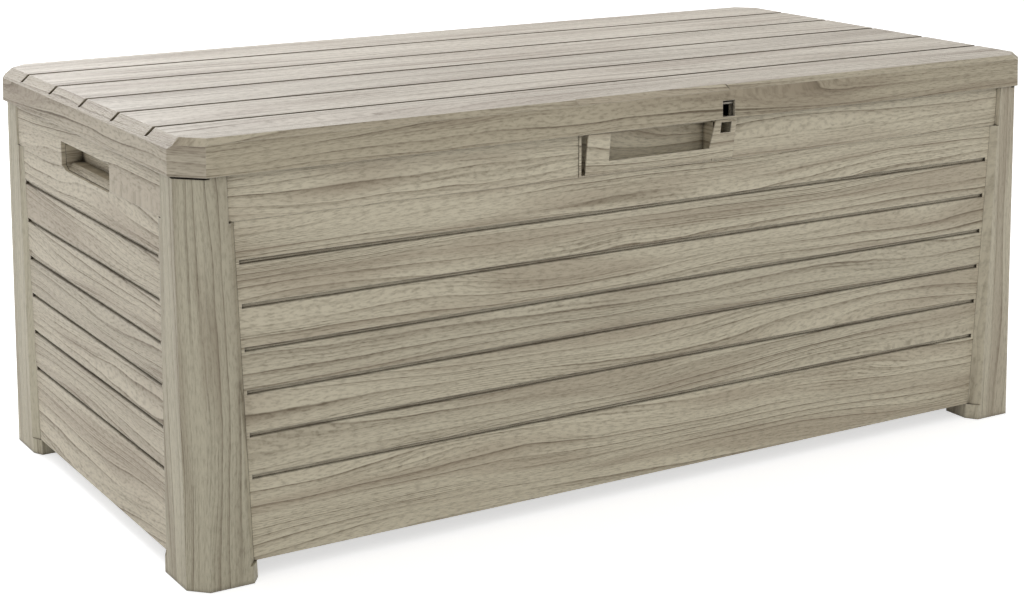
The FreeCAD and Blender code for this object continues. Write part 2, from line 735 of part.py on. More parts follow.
def long_wall_holes():
    holes = []
    for side in (LEFT, RIGHT):
        for z in panel_screw_heights():
            inner = front_plane(z) - WALL_THICKNESS - FLANGE_THICKNESS
            start = vec(side * FRONT_SCREW_X, inner - EXTRA, z)
            holes.append(screw_hole(start, vec(0, 1, 0), SCREW_RADIUS, FLANGE_THICKNESS + 2 * EXTRA))
    return holes


def side_wall_holes():
    holes = []
    for end in (FRONT, BACK):
        for z in panel_screw_heights():
            inner = side_plane(z) - WALL_THICKNESS - FLANGE_THICKNESS
            start = vec(inner - EXTRA, end * SIDE_SCREW_Y, z)
            holes.append(screw_hole(start, vec(1, 0, 0), SCREW_RADIUS, FLANGE_THICKNESS + 2 * EXTRA))
    return holes


def front_panel():
    cup_left, cup_right = grip_cup_span()
    grip_room = box(
        cup_left - JOIN_GAP, cup_right + JOIN_GAP, 0, LID_WIDTH,
        GRIP_BOTTOM - GRIP_CUP_DROP - JOIN_GAP, GRIP_CUP_TOP + JOIN_GAP)
    shape = fuse([long_wall(FRIEZE_FRONT_PROUD)] + long_ribs(GRIP_HALF_WIDTH + 4 * GRIP_FLANGE))
    # The rim is left out behind the padlock hole, where the shackle comes down.
    left = LOCK_LEFT - LOCK_RIM_GAP
    right = LOCK_LEFT + LOCK_LID_WIDTH + LOCK_RIM_GAP
    rim_gap = box(left, right, 0, LID_WIDTH, GRIP_CUP_TOP, RIM_TOP + EXTRA)
    tools = long_grooves() + long_wall_holes() + grip_screw_holes()
    return mirrored_y(cut(shape, tools + [grip_room, rim_gap]))


def back_panel():
    # Its frieze board lies flush, so that the skirt clears it when the lid is open.
    shape = cut(long_wall(0), long_grooves() + long_wall_holes())
    inner = FRONT_PLANE_TOP - WALL_THICKNESS
    half = HINGE_WIDTH / 2
    low = WALL_TOP - HINGE_PAD_HEIGHT
    pads = []
    for x in HINGE_X:
        pads.append(box(x - half, x + half, inner - HINGE_PAD, inner + EXTRA, low, RIM_TOP))
    shape = fuse([shape] + long_ribs(0) + pads)
    return cut(shape, hinge_body_holes())


def side_panel():
    shape = cut(side_wall(), side_grooves() + side_wall_holes())
    opening = prism_x(handle_outline(0), SIDE_PLANE_TOP - POST_WEB, LID_LENGTH)
    return cut(shape, [opening] + strut_body_holes() + cup_screw_holes())


# Floor panel

def floor_panel():
    under = FLOOR_TOP - FLOOR_SHEET
    outline = chamfered(FLOOR_HALF_LENGTH, FLOOR_HALF_WIDTH, FLOOR_CORNER)
    plate = prism_z(outline, FOOT_HEIGHT, FLOOR_TOP)
    inner = chamfered(FLOOR_HALF_LENGTH - FLOOR_RIB_WIDTH, FLOOR_HALF_WIDTH - FLOOR_RIB_WIDTH, FLOOR_CORNER)
    room = prism_z(inner, FOOT_HEIGHT - EXTRA, under)
    parts = [cut(plate, [room])]
    half = FLOOR_RIB_WIDTH / 2
    half_x = FLOOR_HALF_LENGTH - EXTRA
    half_y = FLOOR_HALF_WIDTH - EXTRA
    for number in range(1, FLOOR_RIBS_ALONG + 1):
        y = FLOOR_HALF_WIDTH * (2 * number / (FLOOR_RIBS_ALONG + 1) - 1)
        parts.append(box(-half_x, half_x, y - half, y + half, FOOT_HEIGHT, under + EXTRA))
    for number in range(1, FLOOR_RIBS_ACROSS + 1):
        x = FLOOR_HALF_LENGTH * (2 * number / (FLOOR_RIBS_ACROSS + 1) - 1)
        parts.append(box(x - half, x + half, -half_y, half_y, FOOT_HEIGHT, under + EXTRA))
    for x, y in floor_screw_points():
        start = vec(x, y, FOOT_HEIGHT)
        parts.append(cylinder(start, vec(0, 0, 1), BOSS_RADIUS, under - FOOT_HEIGHT + EXTRA))
    holes = []
    for x, y in floor_screw_points():
        start = vec(x, y, FOOT_HEIGHT - EXTRA)
        holes.append(screw_hole(start, vec(0, 0, 1), SCREW_RADIUS, FLOOR_SCREW_LENGTH))
    return cut(fuse(parts), holes)


def chamfered(half_x, half_y, corner):
    return [
        (half_x, -half_y + corner), (half_x, half_y - corner), (half_x - corner, half_y),
        (-half_x + corner, half_y), (-half_x, half_y - corner), (-half_x, -half_y + corner),
        (-half_x + corner, -half_y), (half_x - corner, -half_y),
    ]


def floor_screw_corner():
    return [
        (FLOOR_HALF_LENGTH - FLOOR_SCREW_FAR, FLOOR_HALF_WIDTH - FLOOR_SCREW_NEAR),
        (FLOOR_HALF_LENGTH - FLOOR_SCREW_NEAR, FLOOR_HALF_WIDTH - FLOOR_SCREW_FAR)]


def floor_screw_points():
    points = []
    for x, y in floor_screw_corner():
        points += [(side * x, end * y) for side in (LEFT, RIGHT) for end in (FRONT, BACK)]
    return points


# Lid

def end_bevel(half, top_z, run, drop, reach):
    # Profile under the flat top and the two bevels at its ends.
    low_z = top_z - drop
    return [
        (-half - reach, 0), (half + reach, 0), (half + reach, low_z), (half, low_z),
        (half - run, top_z), (-half + run, top_z), (-half, low_z), (-half - reach, low_z)]


def corner_bevel_tools(face, top_z, run, drop):
    # What is above the bevel on each chamfered corner; face is the distance from the middle to the chamfer.
    tools = []
    for side in (LEFT, RIGHT):
        for end in (FRONT, BACK):
            across = vec(side, end, 0) * math.sqrt(0.5)
            along = vec(-end, side, 0) * math.sqrt(0.5)
            profile = [
                (face - run, top_z), (face + run, top_z - 2 * drop),
                (face + run, top_z + run), (face - run, top_z + run)]
            start = along * -HALF_WIDTH
            outline = wire([start + across * d + vec(0, 0, z) for d, z in profile])
            tools.append(Part.Face(outline).extrude(along * LID_WIDTH))
    return tools


def corner_face(half_x, half_y, corner):
    return (half_x + half_y - corner) * math.sqrt(0.5)


def lid_outer():
    low = chamfered(HALF_LENGTH + LID_FLARE, HALF_WIDTH + LID_FLARE, LID_CORNER)
    high = chamfered(HALF_LENGTH, HALF_WIDTH, LID_CORNER)
    bevel_z = BOX_HEIGHT - END_BEVEL_DROP
    block = fuse([loft_z(low, LID_BOTTOM, high, bevel_z), prism_z(high, bevel_z, BOX_HEIGHT)])
    ends = end_bevel(HALF_LENGTH, BOX_HEIGHT, END_BEVEL_RUN, END_BEVEL_DROP, LID_CORNER)
    fronts = end_bevel(HALF_WIDTH, BOX_HEIGHT, FRONT_BEVEL_RUN, FRONT_BEVEL_DROP, LID_CORNER)
    block = block.common(prism_y(ends, -LID_WIDTH, LID_WIDTH))
    block = block.common(prism_x(fronts, -LID_LENGTH, LID_LENGTH))
    face = corner_face(HALF_LENGTH, HALF_WIDTH, LID_CORNER)
    corners = corner_bevel_tools(face, BOX_HEIGHT, CORNER_BEVEL_RUN, CORNER_BEVEL_DROP)
    return cut(block, corners + [grip_bevel()])


def grip_bevel():
    # Over the grip the front bevel starts further back.
    run = FRONT_BEVEL_RUN + GRIP_BEVEL_EXTRA
    low_z = BOX_HEIGHT - FRONT_BEVEL_DROP
    points = [
        (-HALF_WIDTH, low_z), (-HALF_WIDTH + run, BOX_HEIGHT), (-HALF_WIDTH + run, BOX_HEIGHT + EXTRA),
        (-HALF_WIDTH - EXTRA, BOX_HEIGHT + EXTRA), (-HALF_WIDTH - EXTRA, low_z)]
    return prism_x(points, GRIP_BEVEL_CENTRE - GRIP_BEVEL_HALF, GRIP_BEVEL_CENTRE + GRIP_BEVEL_HALF)


def lid_room():
    half_x = HALF_LENGTH - LID_WALL
    half_y = HALF_WIDTH - LID_WALL
    main = prism_z(chamfered(half_x, half_y, LID_CORNER), LID_BOTTOM - EXTRA, CHANNEL_UNDER)
    edges = [-half_y] + [LID_GROOVE_PITCH * number for number in LID_GROOVE_NUMBERS] + [half_y]
    last = len(edges) - 2
    bays = []
    for number in range(last + 1):
        start = edges[number] + (CHANNEL_WIDTH / 2 if number > 0 else EXTRA)
        end = edges[number + 1] - (CHANNEL_WIDTH / 2 if number < last else EXTRA)
        reach = half_x - CHANNEL_END
        bays.append(box(-reach, reach, start, end, CHANNEL_UNDER - EXTRA, LID_SHEET_UNDER))
    end_drop = END_BEVEL_DROP + LID_ROOM_DROP - LID_SHEET
    front_drop = FRONT_BEVEL_DROP + LID_ROOM_DROP - LID_SHEET
    ends = end_bevel(half_x, LID_SHEET_UNDER, LID_ROOM_RUN, end_drop, LID_CORNER)
    fronts = end_bevel(half_y, LID_SHEET_UNDER, LID_ROOM_RUN, front_drop, LID_CORNER)
    room = fuse([main] + bays)
    room = room.common(prism_y(ends, -LID_WIDTH, LID_WIDTH)).common(prism_x(fronts, -LID_LENGTH, LID_LENGTH))
    face = corner_face(half_x, half_y, LID_CORNER)
    drop = CORNER_BEVEL_DROP + LID_ROOM_DROP - LID_SHEET
    return cut(room, corner_bevel_tools(face, LID_SHEET_UNDER, LID_ROOM_RUN, drop))


def lid_groove_tools():
    reach_x = HALF_LENGTH - END_BEVEL_RUN * (1 - LID_GROOVE_REACH)
    reach_z = BOX_HEIGHT - END_BEVEL_DROP * LID_GROOVE_REACH
    floor_z = BOX_HEIGHT - LID_GROOVE_DEPTH
    bend = HALF_LENGTH - END_BEVEL_RUN - LID_GROOVE_BEND
    inner = reach_x - LID_GROOVE_BEND
    high = BOX_HEIGHT + END_BEVEL_RUN
    far = reach_x + END_BEVEL_RUN
    points = [
        (-far, high), (-reach_x - EXTRA, reach_z), (-inner, reach_z), (-bend, floor_z), (bend, floor_z),
        (inner, reach_z), (reach_x + EXTRA, reach_z), (far, high),
    ]
    half = LID_GROOVE_WIDTH / 2
    tools = []
    for number in LID_GROOVE_NUMBERS:
        y = number * LID_GROOVE_PITCH
        tools.append(prism_y(points, y - half, y + half))
    return tools


def lid_shell():
    boss_low = LINER_BOTTOM + LINER_THICKNESS
    parts = [cut(lid_outer(), [lid_room()])]
    boss_height = LID_SHEET_UNDER - boss_low + EXTRA
    for x, y in boss_points():
        parts.append(cylinder(vec(x, y, boss_low), vec(0, 0, 1), BOSS_RADIUS, boss_height))
    inner_y = HALF_WIDTH - LID_WALL
    pad_y = inner_y - SKIRT_PAD
    half = HINGE_WIDTH / 2
    for x in HINGE_X:
        parts.append(box(x - half, x + half, pad_y, inner_y + EXTRA, LEAF_BOTTOM, LEAF_TOP + EXTRA))
    tools = lid_groove_tools()
    for x, y in boss_points():
        tools.append(screw_hole(vec(x, y, LINER_BOTTOM), vec(0, 0, 1), SCREW_RADIUS, BOSS_SCREW_DEPTH))
    depth = LID_LEAF_SCREW - LEAF_THICKNESS + EXTRA + SCREW_CLEARANCE
    for x in hinge_screw_points():
        start = vec(x, pad_y - EXTRA, HINGE_SCREW_Z)
        tools.append(screw_hole(start, vec(0, 1, 0), SMALL_SCREW_RADIUS, depth))
    low = LID_BOTTOM + LOCK_LID_RISE
    right = LOCK_LEFT + LOCK_LID_WIDTH
    tools.append(box(LOCK_LEFT, right, -LID_WIDTH, -inner_y + EXTRA, low, low + LOCK_LID_HEIGHT))
    return cut(fuse(parts), tools)


def lid_liner():
    top = LINER_BOTTOM + LINER_THICKNESS
    inset_by = LID_WALL + LINER_GAP
    plate = prism_z(chamfered(HALF_LENGTH - inset_by, HALF_WIDTH - inset_by, LID_CORNER), LINER_BOTTOM, top)
    ribs = []
    for y in (-TUBE_Y, TUBE_Y):
        for side in (-1, 1):
            edge = y + side * (TUBE_WIDTH / 2 + LINER_RIB_GAP)
            far = edge + side * LINER_RIB_WIDTH
            rib_top = top + LINER_RIB_HEIGHT
            ribs.append(box(-TUBE_HALF_LENGTH, TUBE_HALF_LENGTH, edge, far, top - EXTRA, rib_top))
    holes = []
    for x, y in boss_points():
        start = vec(x, y, LINER_BOTTOM - EXTRA)
        holes.append(screw_hole(start, vec(0, 0, 1), SCREW_RADIUS, LINER_THICKNESS + 2 * EXTRA))
    return cut(fuse([plate] + ribs), holes)


def lid_tube(y):
    low = LINER_BOTTOM + LINER_THICKNESS
    half = TUBE_WIDTH / 2
    outer = box(-TUBE_HALF_LENGTH, TUBE_HALF_LENGTH, y - half, y + half, low, LID_SHEET_UNDER)
    inner = box(
        -TUBE_HALF_LENGTH - EXTRA, TUBE_HALF_LENGTH + EXTRA, y - half + TUBE_WALL, y + half - TUBE_WALL,
        low + TUBE_WALL, LID_SHEET_UNDER - TUBE_WALL)
    return cut(outer, [inner])


def boss_points():
    points = [(x, y) for x in BOSS_X for y in BOSS_Y]
    return points + strut_lid_screw_points()


# Hinges

def hinge_screw_points():
    return [centre + x for centre in HINGE_X for x in HINGE_SCREW_X]


def rim_face():
    return FRONT_PLANE_TOP - RIM_SETBACK


def hinge_body_holes():
    start_y = FRONT_PLANE_TOP - WALL_THICKNESS - HINGE_PAD - EXTRA
    holes = []
    for centre in HINGE_X:
        start = vec(centre - HINGE_WIDTH / 2 - EXTRA, HINGE_Y, HINGE_Z)
        holes.append(cylinder(start, vec(1, 0, 0), KNUCKLE_RADIUS + JOIN_GAP, HINGE_WIDTH + 2 * EXTRA))
    for x in hinge_screw_points():
        start = vec(x, start_y, HINGE_SCREW_Z)
        holes.append(screw_hole(start, vec(0, 1, 0), SMALL_SCREW_RADIUS, rim_face() + EXTRA - start_y))
    return holes


def knuckle(x0, x1):
    start = vec(x0, HINGE_Y, HINGE_Z)
    return cylinder(start, vec(1, 0, 0), KNUCKLE_RADIUS, x1 - x0)


def hinge_leaf(centre, spans, near_y, far_y):
    # near_y is the leaf's face towards the pin, far_y the face it is screwed by.
    half = HINGE_WIDTH / 2
    towards = 1 if near_y > HINGE_Y else -1
    low = HINGE_Z - TAB_HEIGHT / 2
    root = (near_y + far_y) / 2
    parts = [box(centre - half, centre + half, near_y, far_y, LEAF_BOTTOM, LEAF_TOP)]
    reach = HINGE_Y + towards * TAB_REACH
    for x0, x1 in spans:
        parts.append(knuckle(centre + x0, centre + x1))
        parts.append(box(centre + x0, centre + x1, root, reach, low, low + TAB_HEIGHT))
    start = vec(centre - half - EXTRA, HINGE_Y, HINGE_Z)
    holes = [cylinder(start, vec(1, 0, 0), PIN_RADIUS + PIN_CLEARANCE, HINGE_WIDTH + 2 * EXTRA)]
    low_y = min(near_y, far_y) - EXTRA
    for x in HINGE_SCREW_X:
        start = vec(centre + x, low_y, HINGE_SCREW_Z)
        holes.append(screw_hole(start, vec(0, 1, 0), SMALL_SCREW_RADIUS, LEAF_THICKNESS + 2 * EXTRA))
    return cut(fuse(parts), holes)


def hinge_spans():
    fifth = HINGE_WIDTH / 5
    gap = KNUCKLE_GAP / 2
    edges = [-HINGE_WIDTH / 2 + fifth * number for number in range(6)]
    spans = [(edges[number] + gap, edges[number + 1] - gap) for number in range(5)]
    return spans[0::2], spans[1::2]


def hinge_body_leaf(centre):
    body_spans, lid_spans = hinge_spans()
    return hinge_leaf(centre, body_spans, rim_face() + LEAF_THICKNESS, rim_face())


def hinge_lid_leaf(centre):
    pad_face = HALF_WIDTH - LID_WALL - SKIRT_PAD
    body_spans, lid_spans = hinge_spans()
    return hinge_leaf(centre, lid_spans, pad_face - LEAF_THICKNESS, pad_face)


def hinge_pin(centre):
    half = HINGE_WIDTH / 2
    along = vec(1, 0, 0)
    start = vec(centre - half - EXTRA, HINGE_Y, HINGE_Z)
    shaft = cylinder(start, along, PIN_RADIUS, HINGE_WIDTH + 2 * EXTRA)
    start = vec(centre - half - PIN_HEAD - JOIN_GAP, HINGE_Y, HINGE_Z)
    first = cylinder(start, along, PIN_HEAD_RADIUS, PIN_HEAD)
    last = cylinder(vec(centre + half + JOIN_GAP, HINGE_Y, HINGE_Z), along, PIN_HEAD_RADIUS, PIN_HEAD)
    return fuse([shaft, first, last])


# Gas struts, drawn on the right and mirrored to the left

def strut_body_point():
    angle = math.radians(STRUT_CLOSED_ANGLE)
    return HINGE_Y - STRUT_CIRCLE * math.cos(angle), HINGE_Z - STRUT_CIRCLE * math.sin(angle)


def strut_lid_point():
    return HINGE_Y - STRUT_CIRCLE, HINGE_Z


def strut_length():
    return 2 * STRUT_CIRCLE * math.sin(math.radians(STRUT_CLOSED_ANGLE / 2))


def stand_on_strut(shape):
    # Moves a shape drawn upwards from the origin to the line between the two studs.
    y, z = strut_body_point()
    shape.rotate(vec(0, 0, 0), vec(1, 0, 0), STRUT_CLOSED_ANGLE / 2)
    shape.translate(vec(STRUT_X, y, z))
    return shape


def eye(height):
    start = vec(-EYE_WIDTH / 2, 0, height)
    return cylinder(start, vec(1, 0, 0), EYE_RADIUS, EYE_WIDTH)


def eye_bore(height):
    start = vec(-EYE_WIDTH, 0, height)
    return cylinder(start, vec(1, 0, 0), STUD_RADIUS + STUD_CLEARANCE, 2 * EYE_WIDTH)


def strut_cylinder():
    up = vec(0, 0, 1)
    end = strut_length() - CYLINDER_END_GAP
    neck = cylinder(vec(0, 0, 0), up, NECK_RADIUS, CYLINDER_START + EXTRA)
    tube = cylinder(vec(0, 0, CYLINDER_START), up, CYLINDER_RADIUS, end - CYLINDER_START)
    inside = end - CYLINDER_START - 2 * CYLINDER_CAP
    bore = cylinder(vec(0, 0, CYLINDER_START + CYLINDER_CAP), up, CYLINDER_RADIUS - CYLINDER_WALL, inside)
    start = vec(0, 0, end - CYLINDER_CAP - EXTRA)
    guide = cylinder(start, up, ROD_RADIUS + STUD_CLEARANCE, CYLINDER_CAP + 2 * EXTRA)
    shape = cut(fuse([eye(0), neck, tube]), [bore, guide, eye_bore(0)])
    return stand_on_strut(shape)


def strut_rod():
    up = vec(0, 0, 1)
    length = strut_length()
    shaft = cylinder(vec(0, 0, ROD_START), up, ROD_RADIUS, length - ROD_START - EYE_RADIUS + 2 * EXTRA)
    piston_radius = CYLINDER_RADIUS - CYLINDER_WALL - PISTON_CLEARANCE
    piston = cylinder(vec(0, 0, ROD_START), up, piston_radius, PISTON_LENGTH)
    shape = cut(fuse([eye(length), shaft, piston]), [eye_bore(length)])
    return stand_on_strut(shape)


def strut_body_screw_points():
    y, z = strut_body_point()
    offset = BODY_PLATE_HEIGHT / 2 - BODY_PLATE_SCREW
    return [(y, z - offset), (y, z + offset)]


def strut_lid_screw_points():
    y, z = strut_lid_point()
    offset = PLATE_WIDTH / 2 - LID_PLATE_SCREW
    return [(side * LID_BOSS_X, y + end * offset) for side in (LEFT, RIGHT) for end in (FRONT, BACK)]


def strut_body_holes():
    # The screws end just inside the wall.
    holes = []
    for y, z in strut_body_screw_points():
        depth = side_plane(z) - WALL_THICKNESS - BODY_PLATE_X
        start = vec(BODY_PLATE_X - EXTRA, y, z)
        holes.append(screw_hole(start, vec(1, 0, 0), SCREW_RADIUS, depth + EXTRA / 2))
    return holes


def stud(base_x, direction, y, z):
    # The stud starts at base_x, carries the eye at the strut's line and ends in a head.
    half = EYE_WIDTH / 2 + EYE_SIDE_GAP
    shoulder_end = STRUT_X - direction * half
    head_start = STRUT_X + direction * half
    axis = vec(direction, 0, 0)
    shoulder = cylinder(vec(base_x, y, z), axis, STUD_HEAD_RADIUS, abs(shoulder_end - base_x))
    pin = cylinder(vec(base_x, y, z), axis, STUD_RADIUS, abs(head_start - base_x) + EXTRA / 2)
    head = cylinder(vec(head_start, y, z), axis, STUD_HEAD_RADIUS, STUD_HEAD)
    return [shoulder, pin, head]


def strut_body_bracket():
    y, z = strut_body_point()
    half_y = PLATE_WIDTH / 2
    half_z = BODY_PLATE_HEIGHT / 2
    inner_x = BODY_PLATE_X - PLATE_THICKNESS
    plate = box(inner_x, BODY_PLATE_X, y - half_y, y + half_y, z - half_z, z + half_z)
    shape = fuse([plate] + stud(inner_x + EXTRA / 2, LEFT, y, z))
    holes = []
    for screw_y, screw_z in strut_body_screw_points():
        start = vec(inner_x - EXTRA, screw_y, screw_z)
        holes.append(screw_hole(start, vec(1, 0, 0), SCREW_RADIUS, PLATE_THICKNESS + 2 * EXTRA))
    return cut(shape, holes)


def strut_lid_bracket():
    y, z = strut_lid_point()
    half_y = PLATE_WIDTH / 2
    top = LINER_BOTTOM
    shoulder = top - 2 * PLATE_THICKNESS
    tip = z - EYE_RADIUS
    web = prism_x([
        (y - half_y, top), (y - half_y, shoulder), (y - EYE_WIDTH, tip),
        (y + EYE_WIDTH, tip), (y + half_y, shoulder), (y + half_y, top)],
        LID_WEB_X - PLATE_THICKNESS, LID_WEB_X)
    foot = box(LID_FOOT_X, LID_WEB_X, y - half_y, y + half_y, top - PLATE_THICKNESS, top)
    shape = fuse([web, foot] + stud(LID_WEB_X - EXTRA / 2, RIGHT, y, z))
    holes = []
    for screw_x, screw_y in strut_lid_screw_points():
        start = vec(abs(screw_x), screw_y, top - PLATE_THICKNESS - EXTRA)
        holes.append(screw_hole(start, vec(0, 0, 1), SCREW_RADIUS, PLATE_THICKNESS + 2 * EXTRA))
    return cut(shape, holes)


# Front grip, drawn with the front towards positive y and mirrored at the end

def grip_cup_span():
    left = GRIP_CENTRE - GRIP_HALF_WIDTH - GRIP_SIDE_GAP
    right = GRIP_CENTRE + GRIP_HALF_WIDTH - GRIP_WALL
    return left, right


def grip_face():
    # Just in front of the frieze board, which the grip covers.
    return front_plane(GRIP_BOTTOM) + FRIEZE_FRONT_PROUD + JOIN_GAP


def front_grip():
    left = GRIP_CENTRE - GRIP_HALF_WIDTH
    right = GRIP_CENTRE + GRIP_HALF_WIDTH
    face = grip_face()
    foot = face + GRIP_FOOT_PROUD
    floor_z = GRIP_BOTTOM + GRIP_WALL
    cup_floor = GRIP_BOTTOM - GRIP_CUP_DROP
    slope = (GRIP_FRONT_TOP - foot) / (GRIP_TOP - GRIP_BOTTOM)
    block = prism_x([
        (face, GRIP_BOTTOM - GRIP_SLOPE_HEIGHT), (foot, GRIP_BOTTOM),
        (GRIP_FRONT_TOP, GRIP_TOP), (face, GRIP_TOP)],
        left, right)
    room = prism_x([
        (face - EXTRA, floor_z), (foot + slope * GRIP_WALL - GRIP_WALL, floor_z),
        (GRIP_FRONT_TOP - GRIP_WALL, GRIP_TOP - GRIP_WALL), (face - EXTRA, GRIP_TOP - GRIP_WALL)],
        left - EXTRA, right - GRIP_WALL)
    cup_left, cup_right = grip_cup_span()
    back = face - GRIP_POCKET_DEPTH
    cup = box(cup_left, cup_right, back, face + EXTRA, cup_floor, GRIP_CUP_TOP)
    cup_room = box(
        cup_left + GRIP_WALL, cup_right - GRIP_WALL, back + GRIP_WALL, LID_WIDTH,
        cup_floor + GRIP_CUP_FLOOR, GRIP_CUP_TOP - GRIP_WALL)
    bead = box(cup_left - EXTRA, cup_left + GRIP_WALL, face, face + EXTRA, cup_floor, GRIP_CUP_TOP)
    shape = fuse([cut(block, [room]), cut(cup, [cup_room]), bead] + grip_flanges())
    divider = box(WINDOW_RIGHT_TOP, WINDOW_RIGHT_TOP + GRIP_WALL, back, foot, cup_floor, GRIP_CUP_TOP)
    shape = fuse([shape, divider])
    return mirrored_y(cut(shape, grip_windows(face) + grip_screw_holes()))


def grip_windows(face):
    # The window is open at the top. Beside it is the padlock hole, with a slot above it for the shackle.
    high = GRIP_TOP + EXTRA
    window = prism_y([
        (WINDOW_LEFT_TOP, high), (WINDOW_LEFT_BOTTOM, WINDOW_BOTTOM),
        (WINDOW_RIGHT_BOTTOM, WINDOW_BOTTOM), (WINDOW_RIGHT_TOP, high)], face + EXTRA, LID_WIDTH)
    right = LOCK_LEFT + LOCK_GRIP_WIDTH
    top = LID_BOTTOM - LOCK_GRIP_DROP
    lock = box(LOCK_LEFT, right, face + EXTRA, LID_WIDTH, top - LOCK_GRIP_HEIGHT, top)
    slot = box(LOCK_LEFT, right, face + EXTRA, GRIP_FRONT_TOP - GRIP_WALL, top - EXTRA, high)
    return [window, lock, slot]


def grip_flanges():
    cup_left, cup_right = grip_cup_span()
    inner = front_plane(WALL_TOP) - WALL_THICKNESS - JOIN_GAP
    low = GRIP_BOTTOM + GRIP_WALL
    high = WALL_TOP - RIM_ROOT - JOIN_GAP
    first = box(cup_left - GRIP_FLANGE, cup_left + GRIP_WALL, inner - GRIP_WALL, inner, low, high)
    last = box(cup_right - GRIP_WALL, cup_right + GRIP_FLANGE, inner - GRIP_WALL, inner, low, high)
    return [first, last]


def grip_screw_points():
    cup_left, cup_right = grip_cup_span()
    points = []
    for x in (cup_left - GRIP_FLANGE / 2, cup_right + GRIP_FLANGE / 2):
        points += [(x, LID_BOTTOM - drop) for drop in GRIP_SCREW_DROPS]
    return points


def grip_screw_start():
    return front_plane(WALL_TOP) - WALL_THICKNESS - JOIN_GAP - GRIP_WALL


def grip_screw_holes():
    holes = []
    for x, z in grip_screw_points():
        start = vec(x, grip_screw_start() - EXTRA, z)
        holes.append(screw_hole(start, vec(0, 1, 0), SMALL_SCREW_RADIUS, SMALL_SCREW_LENGTH + 3 * EXTRA / 2))
    return holes


# Side hand-holds

def handle_outline(grow):
    # The opening with its two chamfered lower corners, as pairs of y and z.
    front = HANDLE_FRONT - grow
    rear = HANDLE_REAR + grow
    low = HANDLE_BOTTOM - grow
    high = HANDLE_TOP + grow
    return [
        (front + HANDLE_CORNER_RUN, low), (rear - HANDLE_CORNER_RUN, low), (rear, low + HANDLE_CORNER_RISE),
        (rear, high), (front, high), (front, low + HANDLE_CORNER_RISE)]


def cup_face():
    return side_plane(HANDLE_TOP) - WALL_THICKNESS - JOIN_GAP


def handle_cup():
    outer_x = cup_face()
    block = prism_x(handle_outline(CUP_WALL), CUP_INNER_X, outer_x)
    lip_z = HANDLE_BOTTOM + HANDLE_LIP_RISE
    inner_x = CUP_INNER_X + CUP_WALL
    room = prism_y([
        (inner_x, lip_z), (outer_x - HANDLE_LIP_DEPTH, lip_z), (outer_x + EXTRA, HANDLE_BOTTOM),
        (outer_x + EXTRA, HANDLE_TOP), (inner_x, HANDLE_TOP)], HANDLE_FRONT, HANDLE_REAR)
    reach = CUP_WALL + CUP_FLANGE
    flange = box(
        outer_x - CUP_WALL, outer_x, HANDLE_FRONT - reach, HANDLE_REAR + reach,
        HANDLE_BOTTOM - CUP_WALL, HANDLE_TOP + CUP_WALL)
    room = room.common(prism_x(handle_outline(0), 0, LID_LENGTH))
    return cut(fuse([block, flange]), [room] + cup_screw_holes())


def cup_screw_points():
    reach = CUP_WALL + CUP_FLANGE / 2
    heights = (HANDLE_BOTTOM + CUP_SCREW_MARGIN, HANDLE_TOP - CUP_SCREW_MARGIN)
    return [(y, z) for y in (HANDLE_FRONT - reach, HANDLE_REAR + reach) for z in heights]


def cup_screw_holes():
    holes = []
    for y, z in cup_screw_points():
        start = vec(cup_face() - CUP_WALL - EXTRA, y, z)
        holes.append(screw_hole(start, vec(1, 0, 0), SMALL_SCREW_RADIUS, SMALL_SCREW_LENGTH + 3 * EXTRA / 2))
    return holes


# Groups of screws

def both_sides(shapes):
    return shapes + [mirrored_x(shape) for shape in shapes]


def big_screw(start, direction, length, head):
    return screw(start, direction, SCREW_RADIUS, length, SCREW_HEAD_RADIUS, head)


def small_screw(start, direction, length):
    return screw(start, direction, SMALL_SCREW_RADIUS, length, SMALL_HEAD_RADIUS, SMALL_HEAD)


def panel_screws():
    screws = []
    behind = WALL_THICKNESS + FLANGE_THICKNESS
    for z in panel_screw_heights():
        long_start = vec(FRONT_SCREW_X, front_plane(z) - behind, z)
        side_start = vec(side_plane(z) - behind, SIDE_SCREW_Y, z)
        long_one = big_screw(long_start, vec(0, 1, 0), PANEL_SCREW_LENGTH, SCREW_HEAD)
        side_one = big_screw(side_start, vec(1, 0, 0), PANEL_SCREW_LENGTH, SCREW_HEAD)
        screws += [long_one, mirrored_y(long_one), side_one, mirrored_y(side_one)]
    return both_sides(screws)


def floor_screws():
    down = vec(0, 0, -1)
    starts = [vec(x, y, FLOOR_TOP) for x, y in floor_screw_points()]
    return [big_screw(start, down, FLOOR_SCREW_LENGTH, SCREW_HEAD) for start in starts]


def liner_screws():
    up = vec(0, 0, 1)
    points = [(x, y) for x in BOSS_X for y in BOSS_Y]
    return [big_screw(vec(x, y, LINER_BOTTOM), up, LINER_SCREW_LENGTH, FLAT_HEAD) for x, y in points]


def hinge_body_screws():
    start_y = rim_face() + LEAF_THICKNESS
    starts = [vec(x, start_y, HINGE_SCREW_Z) for x in hinge_screw_points()]
    return [small_screw(start, vec(0, -1, 0), BODY_LEAF_SCREW) for start in starts]


def hinge_lid_screws():
    start_y = HALF_WIDTH - LID_WALL - SKIRT_PAD - LEAF_THICKNESS
    starts = [vec(x, start_y, HINGE_SCREW_Z) for x in hinge_screw_points()]
    return [small_screw(start, vec(0, 1, 0), LID_LEAF_SCREW) for start in starts]


def strut_body_screws():
    screws = []
    for y, z in strut_body_screw_points():
        start_x = BODY_PLATE_X - PLATE_THICKNESS
        length = side_plane(z) - WALL_THICKNESS - start_x - EXTRA
        screws.append(big_screw(vec(start_x, y, z), vec(1, 0, 0), length, SCREW_HEAD))
    return both_sides(screws)


